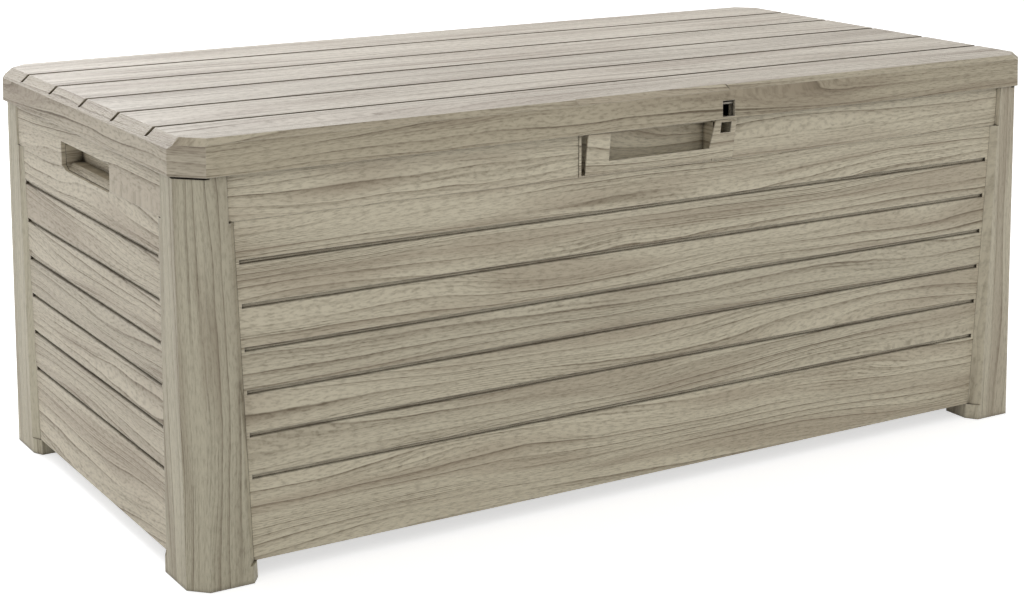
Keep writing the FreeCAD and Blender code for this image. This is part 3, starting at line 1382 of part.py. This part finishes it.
def strut_lid_screws():
    up = vec(0, 0, 1)
    low = LINER_BOTTOM - PLATE_THICKNESS
    starts = [vec(x, y, low) for x, y in strut_lid_screw_points()]
    return [big_screw(start, up, LINER_SCREW_LENGTH + EXTRA, FLAT_HEAD) for start in starts]


def grip_screws():
    screws = []
    for x, z in grip_screw_points():
        start = vec(x, grip_screw_start(), z)
        screws.append(mirrored_y(small_screw(start, vec(0, 1, 0), SMALL_SCREW_LENGTH)))
    return screws


def cup_screws():
    start_x = cup_face() - CUP_WALL
    starts = [vec(start_x, y, z) for y, z in cup_screw_points()]
    screws = [small_screw(start, vec(1, 0, 0), SMALL_SCREW_LENGTH) for start in starts]
    return both_sides(screws)


def all_parts():
    parts = placed_posts()
    right_panel = side_panel()
    right_cup = handle_cup()
    right_cylinder = strut_cylinder()
    right_rod = strut_rod()
    right_body_bracket = strut_body_bracket()
    right_lid_bracket = strut_lid_bracket()
    parts.update({
        "front_panel": front_panel(),
        "back_panel": back_panel(),
        "right_panel": right_panel,
        "left_panel": mirrored_x(right_panel),
        "floor_panel": floor_panel(),
        "front_grip": front_grip(),
        "right_handle_cup": right_cup,
        "left_handle_cup": mirrored_x(right_cup),
        "lid_shell": lid_shell(),
        "lid_liner": lid_liner(),
        "front_lid_tube": lid_tube(-TUBE_Y),
        "rear_lid_tube": lid_tube(TUBE_Y),
        "right_strut_cylinder": right_cylinder,
        "left_strut_cylinder": mirrored_x(right_cylinder),
        "right_strut_rod": right_rod,
        "left_strut_rod": mirrored_x(right_rod),
        "right_strut_body_bracket": right_body_bracket,
        "left_strut_body_bracket": mirrored_x(right_body_bracket),
        "right_strut_lid_bracket": right_lid_bracket,
        "left_strut_lid_bracket": mirrored_x(right_lid_bracket),
    })
    for name, centre in zip(("left", "middle", "right"), HINGE_X):
        parts[name + "_hinge_body_leaf"] = hinge_body_leaf(centre)
        parts[name + "_hinge_lid_leaf"] = hinge_lid_leaf(centre)
        parts[name + "_hinge_pin"] = hinge_pin(centre)
    groups = {
        "panel_screws": panel_screws(),
        "floor_screws": floor_screws(),
        "liner_screws": liner_screws(),
        "hinge_body_screws": hinge_body_screws(),
        "hinge_lid_screws": hinge_lid_screws(),
        "strut_body_screws": strut_body_screws(),
        "strut_lid_screws": strut_lid_screws(),
        "grip_screws": grip_screws(),
        "cup_screws": cup_screws(),
    }
    for name, shapes in groups.items():
        parts[name] = Part.makeCompound(shapes)
    return parts


os.makedirs("parts", exist_ok=True)
for node, shape in all_parts().items():
    state = "valid" if shape.isValid() else "NOT VALID"
    print(node, len(shape.Solids), state, round(shape.Volume / 1000, 1))
    shape.exportStep("parts/" + node + ".step")
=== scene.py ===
import bpy
import math
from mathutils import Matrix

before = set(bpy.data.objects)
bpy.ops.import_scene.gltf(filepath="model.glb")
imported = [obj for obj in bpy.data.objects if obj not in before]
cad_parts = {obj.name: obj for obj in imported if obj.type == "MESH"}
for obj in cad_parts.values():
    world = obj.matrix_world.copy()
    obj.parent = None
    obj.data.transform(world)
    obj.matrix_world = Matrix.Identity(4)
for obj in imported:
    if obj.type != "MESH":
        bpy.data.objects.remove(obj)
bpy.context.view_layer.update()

# Board pattern of the box, in metres, as the walls and the lid have it
BOARD_PITCH = 0.058256
TOP_GROOVE = 0.432089
FRIEZE_SEAM = 0.4866
SINGLE_BOARDS = 5
LID_BOARD_PITCH = 0.1253
LID_BOARDS = 6

# Colours of the moulded resin, linear
RESIN_LIGHT = (0.640, 0.598, 0.490)
RESIN_BROWN = (0.430, 0.372, 0.295)
RESIN_DARK = (0.190, 0.158, 0.112)
# Painted highlight on the open edges of the resin
RESIN_PAINTED_HIGHLIGHT = (0.700, 0.665, 0.580)
# Painted shade for grooves, gaps and corners
CREVICE_PAINTED_SHADE = (0.050, 0.038, 0.022)
INNER_LIGHT = (0.470, 0.430, 0.360)
INNER_DARK = (0.440, 0.402, 0.336)

# Painted shade: how much lighter or darker than that each moulding, and each face of the lid, is painted by
# how the light falls on it, as a factor on its colour
FRONT_PAINTED_SHADING = (1.04, 1.01, 0.935)
BACK_PAINTED_SHADING = (0.78, 0.755, 0.70)
SIDE_PAINTED_SHADING = (0.90, 0.865, 0.815)
LEFT_POST_PAINTED_SHADING = (0.81, 0.795, 0.725)
RIGHT_POST_PAINTED_SHADING = (0.98, 0.955, 0.89)
LID_TOP_PAINTED_SHADING = (0.84, 0.82, 0.84)
SKIRT_PAINTED_SHADING = (0.82, 0.775, 0.69)
END_PAINTED_SHADING = (0.78, 0.74, 0.695)
END_BEVEL_PAINTED_SHADING = (0.66, 0.62, 0.585)
BOARD_SHADES = (0.94, 1.05)

# Wood figure: how often each layer repeats per metre, along the grain and across it
SWEEP_RATES = (1.15, 9.0)
WOBBLE_RATES = (5.0, 26.0)
STRENGTH_RATES = (1.9, 36.0)
BUNDLE_RATES = (2.7, 30.0)
FINE_RATES = (3.2, 210.0)
FIBRE_RATES = (75.0, 480.0)
PATCH_RATES = (2.3, 24.0)
RINGS_PER_METRE = 70.0
HAIRS_PER_METRE = 260.0
SPACING_RATE = 17.0

# Wood figure: how far the sweep and the wobble push the rings aside, in metres
SWEEP_REACH = 0.105
WOBBLE_REACH = 0.011

# Wood figure: how unevenly the rings and the hairs follow one another, in rings
RING_UNEVENNESS = 4.0
HAIR_UNEVENNESS = 9.0

# Wood figure: share of each layer in the darkness, in the brown and in the hollow of the relief
LINE_DARK = 0.70
BAND_DARK = 0.20
HAIR_DARK = 0.42
FINE_DARK = 0.26
FIBRE_DARK = 0.34
LIP_GRAIN_AND_HIGHLIGHT = 0.16
PATCH_BROWN = 0.62
BAND_BROWN = 0.60
LINE_DEEP = 0.55
FINE_DEEP = 0.30
FIBRE_DEEP = 0.35
LIP_HIGH = 0.2
BOARD_CONTRAST = 1.3
POST_CONTRAST = 0.95

# How far one board's figure is moved from its neighbour's, along the grain and across it, in metres
WALL_BOARD_SHIFT = (1.37, 0.61)
LID_BOARD_SHIFT = (1.91, 0.43)

# Edges and grooves of the resin, and how far the painted shade in the grooves reaches, in metres
GRAIN_RELIEF = 0.0008
EDGE_RADIUS = 0.0014
PAINTED_SHADE_REACH = 0.016
INNER_PAINTED_SHADE_REACH = 0.015

# Camera: found by fitting the photograph's edges to the box
CAMERA_PLACE = (-1.61727, -2.63036, 1.05641)
CAMERA_DOWN = 0.2676
CAMERA_TURN = -0.5447
FOCAL_PIXELS = 1991.17
IMAGE_WIDTH = 1024
SENSOR_WIDTH = 36.0

# Light: one large lamp behind and above, and the world
KEY_PLACE = (-0.45, 4.10, 3.5)
KEY_TARGET = (0.0, 0.0, 0.4)
KEY_SIZE = 3.0
KEY_POWER = 190.0
KEY_COLOUR = (1.0, 1.0, 1.03)
WORLD_STRENGTH = 0.70
FLOOR_HALF = 30.0
FLOOR_DROP = 0.0005
FLOOR_GLOW = 0.60


class Graph:
    """A material's node tree, with short calls for the nodes that the materials here need."""

    def __init__(self, name):
        self.material = bpy.data.materials.new(name)
        self.material.use_nodes = True
        self.nodes = self.material.node_tree.nodes
        self.links = self.material.node_tree.links
        self.shader = self.nodes["Principled BSDF"]

    def put(self, socket, value):
        if isinstance(value, bpy.types.NodeSocket):
            self.links.new(value, socket)
        elif isinstance(value, tuple) and len(value) == 3 and socket.type == "RGBA":
            socket.default_value = value + (1.0,)
        else:
            socket.default_value = value

    def math(self, operation, first, second=None, clamp=False):
        node = self.nodes.new("ShaderNodeMath")
        node.operation = operation
        node.use_clamp = clamp
        self.put(node.inputs[0], first)
        if second is not None:
            self.put(node.inputs[1], second)
        return node.outputs[0]

    def add(self, first, second):
        return self.math("ADD", first, second)

    def less(self, first, second, clamp=False):
        return self.math("SUBTRACT", first, second, clamp)

    def times(self, first, second, clamp=False):
        return self.math("MULTIPLY", first, second, clamp)

    def mixed(self, factor, first, second):
        """A number between first, at factor 0, and second, at factor 1."""
        return self.add(first, self.times(self.less(second, first), factor))

    def vector(self, x, y, z):
        node = self.nodes.new("ShaderNodeCombineXYZ")
        for socket, value in zip(node.inputs, (x, y, z)):
            self.put(socket, value)
        return node.outputs[0]

    def noise(self, vector, detail=2.0, roughness=0.5):
        node = self.nodes.new("ShaderNodeTexNoise")
        node.noise_dimensions = "3D"
        self.put(node.inputs["Vector"], vector)
        node.inputs["Scale"].default_value = 1.0
        node.inputs["Detail"].default_value = detail
        node.inputs["Roughness"].default_value = roughness
        return node.outputs["Fac"]

    def layer(self, along, across, rates, seed, detail=2.0, roughness=0.5):
        """Noise that repeats at one rate along the grain and at another across it."""
        place = self.vector(self.times(along, rates[0]), self.times(across, rates[1]), seed)
        return self.noise(place, detail, roughness)

    def scaled(self, point, x, y, z):
        return self.vector(self.times(point["X"], x), self.times(point["Y"], y), self.times(point["Z"], z))

    def span(self, value, low, high, to_low=0.0, to_high=1.0):
        """Brings a number from low..high to to_low..to_high, with soft ends."""
        node = self.nodes.new("ShaderNodeMapRange")
        node.interpolation_type = "SMOOTHSTEP"
        node.clamp = True
        self.put(node.inputs["Value"], value)
        node.inputs["From Min"].default_value = low
        node.inputs["From Max"].default_value = high
        node.inputs["To Min"].default_value = to_low
        node.inputs["To Max"].default_value = to_high
        return node.outputs["Result"]

    def blend(self, factor, first, second, kind="MIX"):
        node = self.nodes.new("ShaderNodeMix")
        node.data_type = "RGBA"
        node.blend_type = kind
        self.put(node.inputs["Factor"], factor)
        self.put(node.inputs[6], first)
        self.put(node.inputs[7], second)
        return node.outputs[2]

    def place(self):
        """The surface point and its normal, both in the piece's own axes at rest."""
        node = self.nodes.new("ShaderNodeTexCoord")
        point = self.nodes.new("ShaderNodeSeparateXYZ")
        facing = self.nodes.new("ShaderNodeSeparateXYZ")
        self.links.new(node.outputs["Object"], point.inputs[0])
        self.links.new(node.outputs["Normal"], facing.inputs[0])
        return point.outputs, facing.outputs

    def hollow(self, distance):
        """How open the surface is: 1 on open faces, towards 0 in corners and grooves."""
        node = self.nodes.new("ShaderNodeAmbientOcclusion")
        node.samples = 8
        node.only_local = False
        node.inputs["Distance"].default_value = distance
        return node.outputs["AO"]

    def rounded(self, radius):
        """The normal of edges rounded by radius, and how near the surface is to such an edge."""
        bevel = self.nodes.new("ShaderNodeBevel")
        bevel.samples = 6
        bevel.inputs["Radius"].default_value = radius
        true = self.nodes.new("ShaderNodeNewGeometry")
        dot = self.nodes.new("ShaderNodeVectorMath")
        dot.operation = "DOT_PRODUCT"
        self.links.new(bevel.outputs["Normal"], dot.inputs[0])
        self.links.new(true.outputs["Normal"], dot.inputs[1])
        edge = self.span(dot.outputs["Value"], 0.80, 0.985, 1.0, 0.0)
        return bevel.outputs["Normal"], edge

    def bump(self, height, distance, normal=None):
        node = self.nodes.new("ShaderNodeBump")
        node.inputs["Strength"].default_value = 1.0
        node.inputs["Distance"].default_value = distance
        self.put(node.inputs["Height"], height)
        if normal is not None:
            self.links.new(normal, node.inputs["Normal"])
        self.links.new(node.outputs["Normal"], self.shader.inputs["Normal"])


def bent_grain(graph, along, across, seed):
    """The place across the grain after long sweeps and short wobbles have bent the lines."""
    sweep = graph.less(graph.layer(along, across, SWEEP_RATES, seed, 1.0), 0.5)
    wobble = graph.less(graph.layer(along, across, WOBBLE_RATES, seed + 5.0), 0.5)
    flow = graph.add(across, graph.times(sweep, SWEEP_REACH))
    return graph.add(flow, graph.times(wobble, WOBBLE_REACH))


def repeats(graph, flow, rate, spacing, unevenness):
    """Runs from 0 to 1 over and over, rate times a metre, at uneven steps."""
    return graph.math("FRACT", graph.add(graph.times(flow, rate), graph.times(spacing, unevenness)))


def grain(graph, along, across, seed, contrast=BOARD_CONTRAST):
    """Wood figure: how dark it is, how brown it is and how high its relief is, each from 0 to 1."""
    flow = bent_grain(graph, along, across, seed)
    spacing = graph.noise(graph.vector(graph.times(flow, SPACING_RATE), seed + 11.0, 0.0), 1.0)
    ring = repeats(graph, flow, RINGS_PER_METRE, spacing, RING_UNEVENNESS)
    fall = graph.span(ring, 0.945, 1.0, 1.0, 0.0)
    strength = graph.span(graph.layer(along, flow, STRENGTH_RATES, seed + 17.0), 0.36, 0.62, 0.10, 1.0)
    line = graph.times(graph.times(graph.math("POWER", ring, 12.0), fall), strength)
    band = graph.times(graph.times(graph.math("POWER", ring, 3.0), fall), strength)
    lip = graph.times(graph.span(ring, 0.0, 0.16, 1.0, 0.0), strength)
    hair = repeats(graph, flow, HAIRS_PER_METRE, spacing, HAIR_UNEVENNESS)
    bundle = graph.span(graph.layer(along, flow, BUNDLE_RATES, seed + 37.0), 0.46, 0.66)
    hair = graph.times(graph.math("POWER", hair, 4.0), bundle)
    fine = graph.span(graph.layer(along, flow, FINE_RATES, seed + 19.0), 0.55, 0.72)
    fibre = graph.span(graph.layer(along, flow, FIBRE_RATES, seed + 23.0, 3.0, 0.62), 0.42, 0.72)
    patch = graph.span(graph.layer(along, flow, PATCH_RATES, seed + 31.0), 0.46, 0.66)
    dark = graph.add(graph.times(line, LINE_DARK), graph.times(band, BAND_DARK))
    dark = graph.add(dark, graph.times(hair, HAIR_DARK))
    dark = graph.add(dark, graph.times(fine, FINE_DARK))
    dark = graph.add(dark, graph.times(fibre, FIBRE_DARK))
    # The lip after each dark line is lightened: partly grain, partly a painted highlight of the embossed
    # lip
    dark = graph.less(dark, graph.times(lip, LIP_GRAIN_AND_HIGHLIGHT))
    dark = graph.times(dark, contrast, clamp=True)
    brown = graph.math("ADD", graph.times(patch, PATCH_BROWN), graph.times(band, BAND_BROWN), clamp=True)
    low = graph.add(graph.times(line, LINE_DEEP), graph.times(fine, FINE_DEEP))
    low = graph.add(low, graph.times(fibre, FIBRE_DEEP))
    height = graph.less(graph.add(1.0 - LIP_HIGH, graph.times(lip, LIP_HIGH)), low)
    return dark, brown, height


def board_number(graph, across, first_groove, pitch, last):
    """Counts boards from the groove at first_groove, going down, up to last."""
    steps = graph.math("DIVIDE", graph.less(first_groove, across), pitch)
    return graph.math("MINIMUM", graph.math("MAXIMUM", graph.math("FLOOR", steps), -1.0), float(last))


def wall_board(graph, height):
    """The number of the wall board at a height: -2 for the frieze board, -1 for the one below it."""
    number = board_number(graph, height, TOP_GROOVE, BOARD_PITCH, SINGLE_BOARDS)
    return graph.less(number, graph.math("GREATER_THAN", height, FRIEZE_SEAM))


def finish_resin(graph, figure, painted_shading, number=None):
    """Colours the figure, makes it lighter or darker as painted shade, paints highlights on the edges,
    paints shade into the grooves and adds the relief.
    """
    dark, brown, height = figure
    colour = graph.blend(brown, RESIN_LIGHT, RESIN_BROWN)
    colour = graph.blend(dark, colour, RESIN_DARK)
    if number is not None:
        shade = graph.noise(graph.vector(graph.times(number, 3.7), 0.5, 0.5), 0.0)
        shade = graph.span(shade, 0.3, 0.7, *BOARD_SHADES)
        colour = graph.blend(1.0, colour, graph.vector(shade, shade, shade), "MULTIPLY")
    # Painted shade: the whole moulding is made lighter or darker by how the light falls on it
    colour = graph.blend(1.0, colour, painted_shading, "MULTIPLY")
    normal, edge = graph.rounded(EDGE_RADIUS)
    open_air = graph.hollow(PAINTED_SHADE_REACH)
    # Painted highlight: open convex edges are lightened as if they caught the light
    painted_highlight = graph.times(edge, graph.span(open_air, 0.70, 0.96, 0.0, 0.55))
    colour = graph.blend(painted_highlight, colour, RESIN_PAINTED_HIGHLIGHT)
    # Painted shade: grooves, gaps and corners darken towards a near-black brown by ambient occlusion
    colour = graph.blend(graph.span(open_air, 0.32, 0.74), CREVICE_PAINTED_SHADE, colour)
    graph.put(graph.shader.inputs["Base Color"], colour)
    graph.put(graph.shader.inputs["Roughness"], graph.span(dark, 0.0, 1.0, 0.52, 0.66))
    graph.shader.inputs["Specular IOR Level"].default_value = 0.35
    graph.bump(height, GRAIN_RELIEF, normal)
    return graph.material


def wall_resin(name, seed, axis, painted_shading):
    """Boards that run along an axis, one above the other."""
    graph = Graph(name)
    point, facing = graph.place()
    number = wall_board(graph, point["Z"])
    along = graph.add(point[axis], graph.times(number, WALL_BOARD_SHIFT[0]))
    across = graph.add(point["Z"], graph.times(number, WALL_BOARD_SHIFT[1]))
    return finish_resin(graph, grain(graph, along, across, seed), painted_shading, number)


def post_resin(name, seed, turn, painted_shading):
    """Grain that runs up a post and round its corner; turn is the sign of the corner's slant."""
    graph = Graph(name)
    point, facing = graph.place()
    across = graph.add(point["X"], graph.times(point["Y"], turn))
    return finish_resin(graph, grain(graph, point["Z"], across, seed, POST_CONTRAST), painted_shading)


def lid_resin(name, seed):
    """Grain along X on the boards and the long skirts, and along Y on the two ends; the top, the skirts,
    the ends and the end bevels each get their own painted shade.
    """
    graph = Graph(name)
    point, facing = graph.place()
    level = graph.math("GREATER_THAN", graph.math("ABSOLUTE", facing["Z"]), 0.95)
    sloped = graph.math("GREATER_THAN", graph.math("ABSOLUTE", facing["Z"]), 0.5)
    is_end = graph.math("GREATER_THAN", graph.math("ABSOLUTE", facing["X"]), 0.5)
    number = board_number(graph, point["Y"], 2 * LID_BOARD_PITCH, LID_BOARD_PITCH, LID_BOARDS - 2)
    number = graph.times(number, level)
    depth = graph.less(point["Y"], point["Z"])
    long_across = graph.add(point["Z"], graph.times(depth, sloped))
    end_across = graph.less(point["Z"], graph.times(graph.math("ABSOLUTE", point["X"]), sloped))
    long_along = graph.add(point["X"], graph.times(number, LID_BOARD_SHIFT[0]))
    long_across = graph.add(long_across, graph.times(number, LID_BOARD_SHIFT[1]))
    along = graph.mixed(is_end, long_along, point["Y"])
    across = graph.mixed(is_end, long_across, end_across)
    # Painted shade: top, skirts, ends and end bevels are lighter or darker copies of one colour, by which
    # way they face
    end_painted_shading = graph.blend(sloped, END_PAINTED_SHADING, END_BEVEL_PAINTED_SHADING)
    painted_shading = graph.blend(level, graph.blend(is_end, SKIRT_PAINTED_SHADING, end_painted_shading), LID_TOP_PAINTED_SHADING)
    return finish_resin(graph, grain(graph, along, across, seed), painted_shading, number)


def inner_resin(name):
    """Plain moulded resin of the hidden parts, with a fine spark-eroded texture."""
    graph = Graph(name)
    point, facing = graph.place()
    cloud = graph.noise(graph.scaled(point, 40.0, 40.0, 40.0), 3.0)
    speck = graph.noise(graph.scaled(point, 900.0, 900.0, 900.0))
    colour = graph.blend(graph.span(cloud, 0.3, 0.7), INNER_LIGHT, INNER_DARK)
    # Painted shade: corners and gaps of the hidden parts darken by ambient occlusion
    painted_crevice_shade = graph.span(graph.hollow(INNER_PAINTED_SHADE_REACH), 0.2, 0.9)
    colour = graph.blend(painted_crevice_shade, CREVICE_PAINTED_SHADE, colour)
    graph.put(graph.shader.inputs["Base Color"], colour)
    graph.put(graph.shader.inputs["Roughness"], graph.span(speck, 0.3, 0.7, 0.50, 0.64))
    graph.bump(speck, 0.0002)
    return graph.material


def steel(name, colour, stretch, low_rough, high_rough):
    """Plated or drawn steel: fine lines along one axis and faint clouding."""
    graph = Graph(name)
    point, facing = graph.place()
    scratch = graph.noise(graph.scaled(point, *stretch), 3.0, 0.6)
    cloud = graph.noise(graph.scaled(point, 60.0, 60.0, 60.0))
    darker = tuple(channel * 0.78 for channel in colour)
    graph.put(graph.shader.inputs["Base Color"], graph.blend(graph.span(cloud, 0.35, 0.65), colour, darker))
    graph.shader.inputs["Metallic"].default_value = 1.0
    graph.put(graph.shader.inputs["Roughness"], graph.span(scratch, 0.3, 0.7, low_rough, high_rough))
    graph.bump(scratch, 0.00005)
    return graph.material


def black_paint(name):
    """Satin black paint with a faint orange peel."""
    graph = Graph(name)
    point, facing = graph.place()
    peel = graph.noise(graph.scaled(point, 700.0, 700.0, 700.0))
    colour = graph.blend(peel, (0.016, 0.016, 0.017), (0.026, 0.026, 0.027))
    graph.put(graph.shader.inputs["Base Color"], colour)
    graph.put(graph.shader.inputs["Roughness"], graph.span(peel, 0.3, 0.7, 0.30, 0.42))
    graph.bump(peel, 0.00008)
    return graph.material


def give(material, *nodes):
    for node in nodes:
        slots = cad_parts[node].material_slots
        if not slots:
            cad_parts[node].data.materials.append(material)
        for slot in slots:
            slot.material = material


def dress_mouldings():
    give(lid_resin("lid_resin", 3.0), "lid_shell")
    give(wall_resin("front_resin", 21.0, "X", FRONT_PAINTED_SHADING), "front_panel")
    give(wall_resin("back_resin", 83.0, "X", BACK_PAINTED_SHADING), "back_panel")
    give(wall_resin("left_resin", 42.0, "Y", SIDE_PAINTED_SHADING), "left_panel")
    give(wall_resin("right_resin", 64.0, "Y", SIDE_PAINTED_SHADING), "right_panel")
    give(wall_resin("grip_resin", 27.0, "X", FRONT_PAINTED_SHADING), "front_grip")
    give(wall_resin("left_cup_resin", 48.0, "Y", SIDE_PAINTED_SHADING), "left_handle_cup")
    give(wall_resin("right_cup_resin", 69.0, "Y", SIDE_PAINTED_SHADING), "right_handle_cup")
    give(post_resin("front_left_post_resin", 5.0, -1.0, LEFT_POST_PAINTED_SHADING), "front_left_post")
    give(post_resin("back_right_post_resin", 9.0, -1.0, RIGHT_POST_PAINTED_SHADING), "back_right_post")
    give(post_resin("front_right_post_resin", 14.0, 1.0, RIGHT_POST_PAINTED_SHADING), "front_right_post")
    give(post_resin("back_left_post_resin", 18.0, 1.0, LEFT_POST_PAINTED_SHADING), "back_left_post")
    give(inner_resin("inner_resin"), "floor_panel", "lid_liner")


def dress_metal():
    tube = steel("tube_steel", (0.60, 0.61, 0.62), (4.0, 600.0, 600.0), 0.30, 0.48)
    zinc = steel("zinc_steel", (0.66, 0.67, 0.68), (9.0, 700.0, 700.0), 0.26, 0.40)
    screw = steel("screw_steel", (0.62, 0.63, 0.65), (500.0, 500.0, 500.0), 0.24, 0.36)
    chrome = steel("rod_chrome", (0.75, 0.75, 0.77), (20.0, 20.0, 900.0), 0.06, 0.12)
    paint = black_paint("strut_black")
    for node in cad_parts:
        if "screws" in node:
            give(screw, node)
        elif node.endswith("tube"):
            give(tube, node)
        elif "hinge" in node or "bracket" in node:
            give(zinc, node)
        elif node.endswith("strut_cylinder"):
            give(paint, node)
        elif node.endswith("strut_rod"):
            give(chrome, node)


def place_camera():
    data = bpy.data.cameras.new("camera")
    data.sensor_width = SENSOR_WIDTH
    data.lens = SENSOR_WIDTH * FOCAL_PIXELS / IMAGE_WIDTH
    data.clip_start = 0.05
    data.clip_end = 200.0
    camera = bpy.data.objects.new("camera", data)
    bpy.context.collection.objects.link(camera)
    camera.location = CAMERA_PLACE
    camera.rotation_euler = (math.pi / 2 - CAMERA_DOWN, 0.0, CAMERA_TURN)
    bpy.context.scene.camera = camera


def light_scene():
    """One large round lamp that looks at the box from behind and above."""
    data = bpy.data.lights.new("key_light", "AREA")
    data.shape = "DISK"
    data.size = KEY_SIZE
    data.energy = KEY_POWER
    data.color = KEY_COLOUR
    light = bpy.data.objects.new("key_light", data)
    bpy.context.collection.objects.link(light)
    light.location = KEY_PLACE
    direction = [goal - here for goal, here in zip(KEY_TARGET, KEY_PLACE)]
    tilt = math.acos(-direction[2] / math.hypot(*direction))
    light.rotation_euler = (tilt, 0.0, math.atan2(direction[0], -direction[1]) + math.pi)


def light_world():
    """A white world that lights the box less than the white that the camera and gloss see."""
    world = bpy.data.worlds.new("studio")
    bpy.context.scene.world = world
    world.use_nodes = True
    nodes = world.node_tree.nodes
    links = world.node_tree.links
    background = nodes["Background"]
    path = nodes.new("ShaderNodeLightPath")
    seen = nodes.new("ShaderNodeMath")
    seen.operation = "MAXIMUM"
    links.new(path.outputs["Is Camera Ray"], seen.inputs[0])
    links.new(path.outputs["Is Glossy Ray"], seen.inputs[1])
    strength = nodes.new("ShaderNodeMapRange")
    strength.inputs["To Min"].default_value = WORLD_STRENGTH
    strength.inputs["To Max"].default_value = 1.0
    links.new(seen.outputs[0], strength.inputs["Value"])
    links.new(strength.outputs["Result"], background.inputs["Strength"])
    background.inputs["Color"].default_value = (1.0, 1.0, 1.0, 1.0)


def floor_paint():
    """Pale paint that glows just enough for camera and gloss to meet the white world."""
    graph = Graph("floor_paint")
    point, facing = graph.place()
    cloud = graph.noise(graph.scaled(point, 2.0, 2.0, 0.0))
    colour = graph.blend(cloud, (0.80, 0.80, 0.80), (0.82, 0.82, 0.82))
    graph.put(graph.shader.inputs["Base Color"], colour)
    graph.shader.inputs["Roughness"].default_value = 0.9
    graph.shader.inputs["Specular IOR Level"].default_value = 0.0
    path = graph.nodes.new("ShaderNodeLightPath")
    seen = graph.math("MAXIMUM", path.outputs["Is Camera Ray"], path.outputs["Is Glossy Ray"])
    graph.shader.inputs["Emission Color"].default_value = (1.0, 1.0, 1.0, 1.0)
    graph.put(graph.shader.inputs["Emission Strength"], graph.times(seen, FLOOR_GLOW))
    return graph.material


def lay_floor():
    half = FLOOR_HALF
    mesh = bpy.data.meshes.new("floor")
    corners = [(-half, -half, 0), (half, -half, 0), (half, half, 0), (-half, half, 0)]
    mesh.from_pydata(corners, [], [(0, 1, 2, 3)])
    floor = bpy.data.objects.new("floor", mesh)
    bpy.context.collection.objects.link(floor)
    floor.location.z = -FLOOR_DROP
    mesh.materials.append(floor_paint())


dress_mouldings()
dress_metal()
place_camera()
light_scene()
light_world()
lay_floor()
bpy.context.scene.view_settings.view_transform = "Standard"
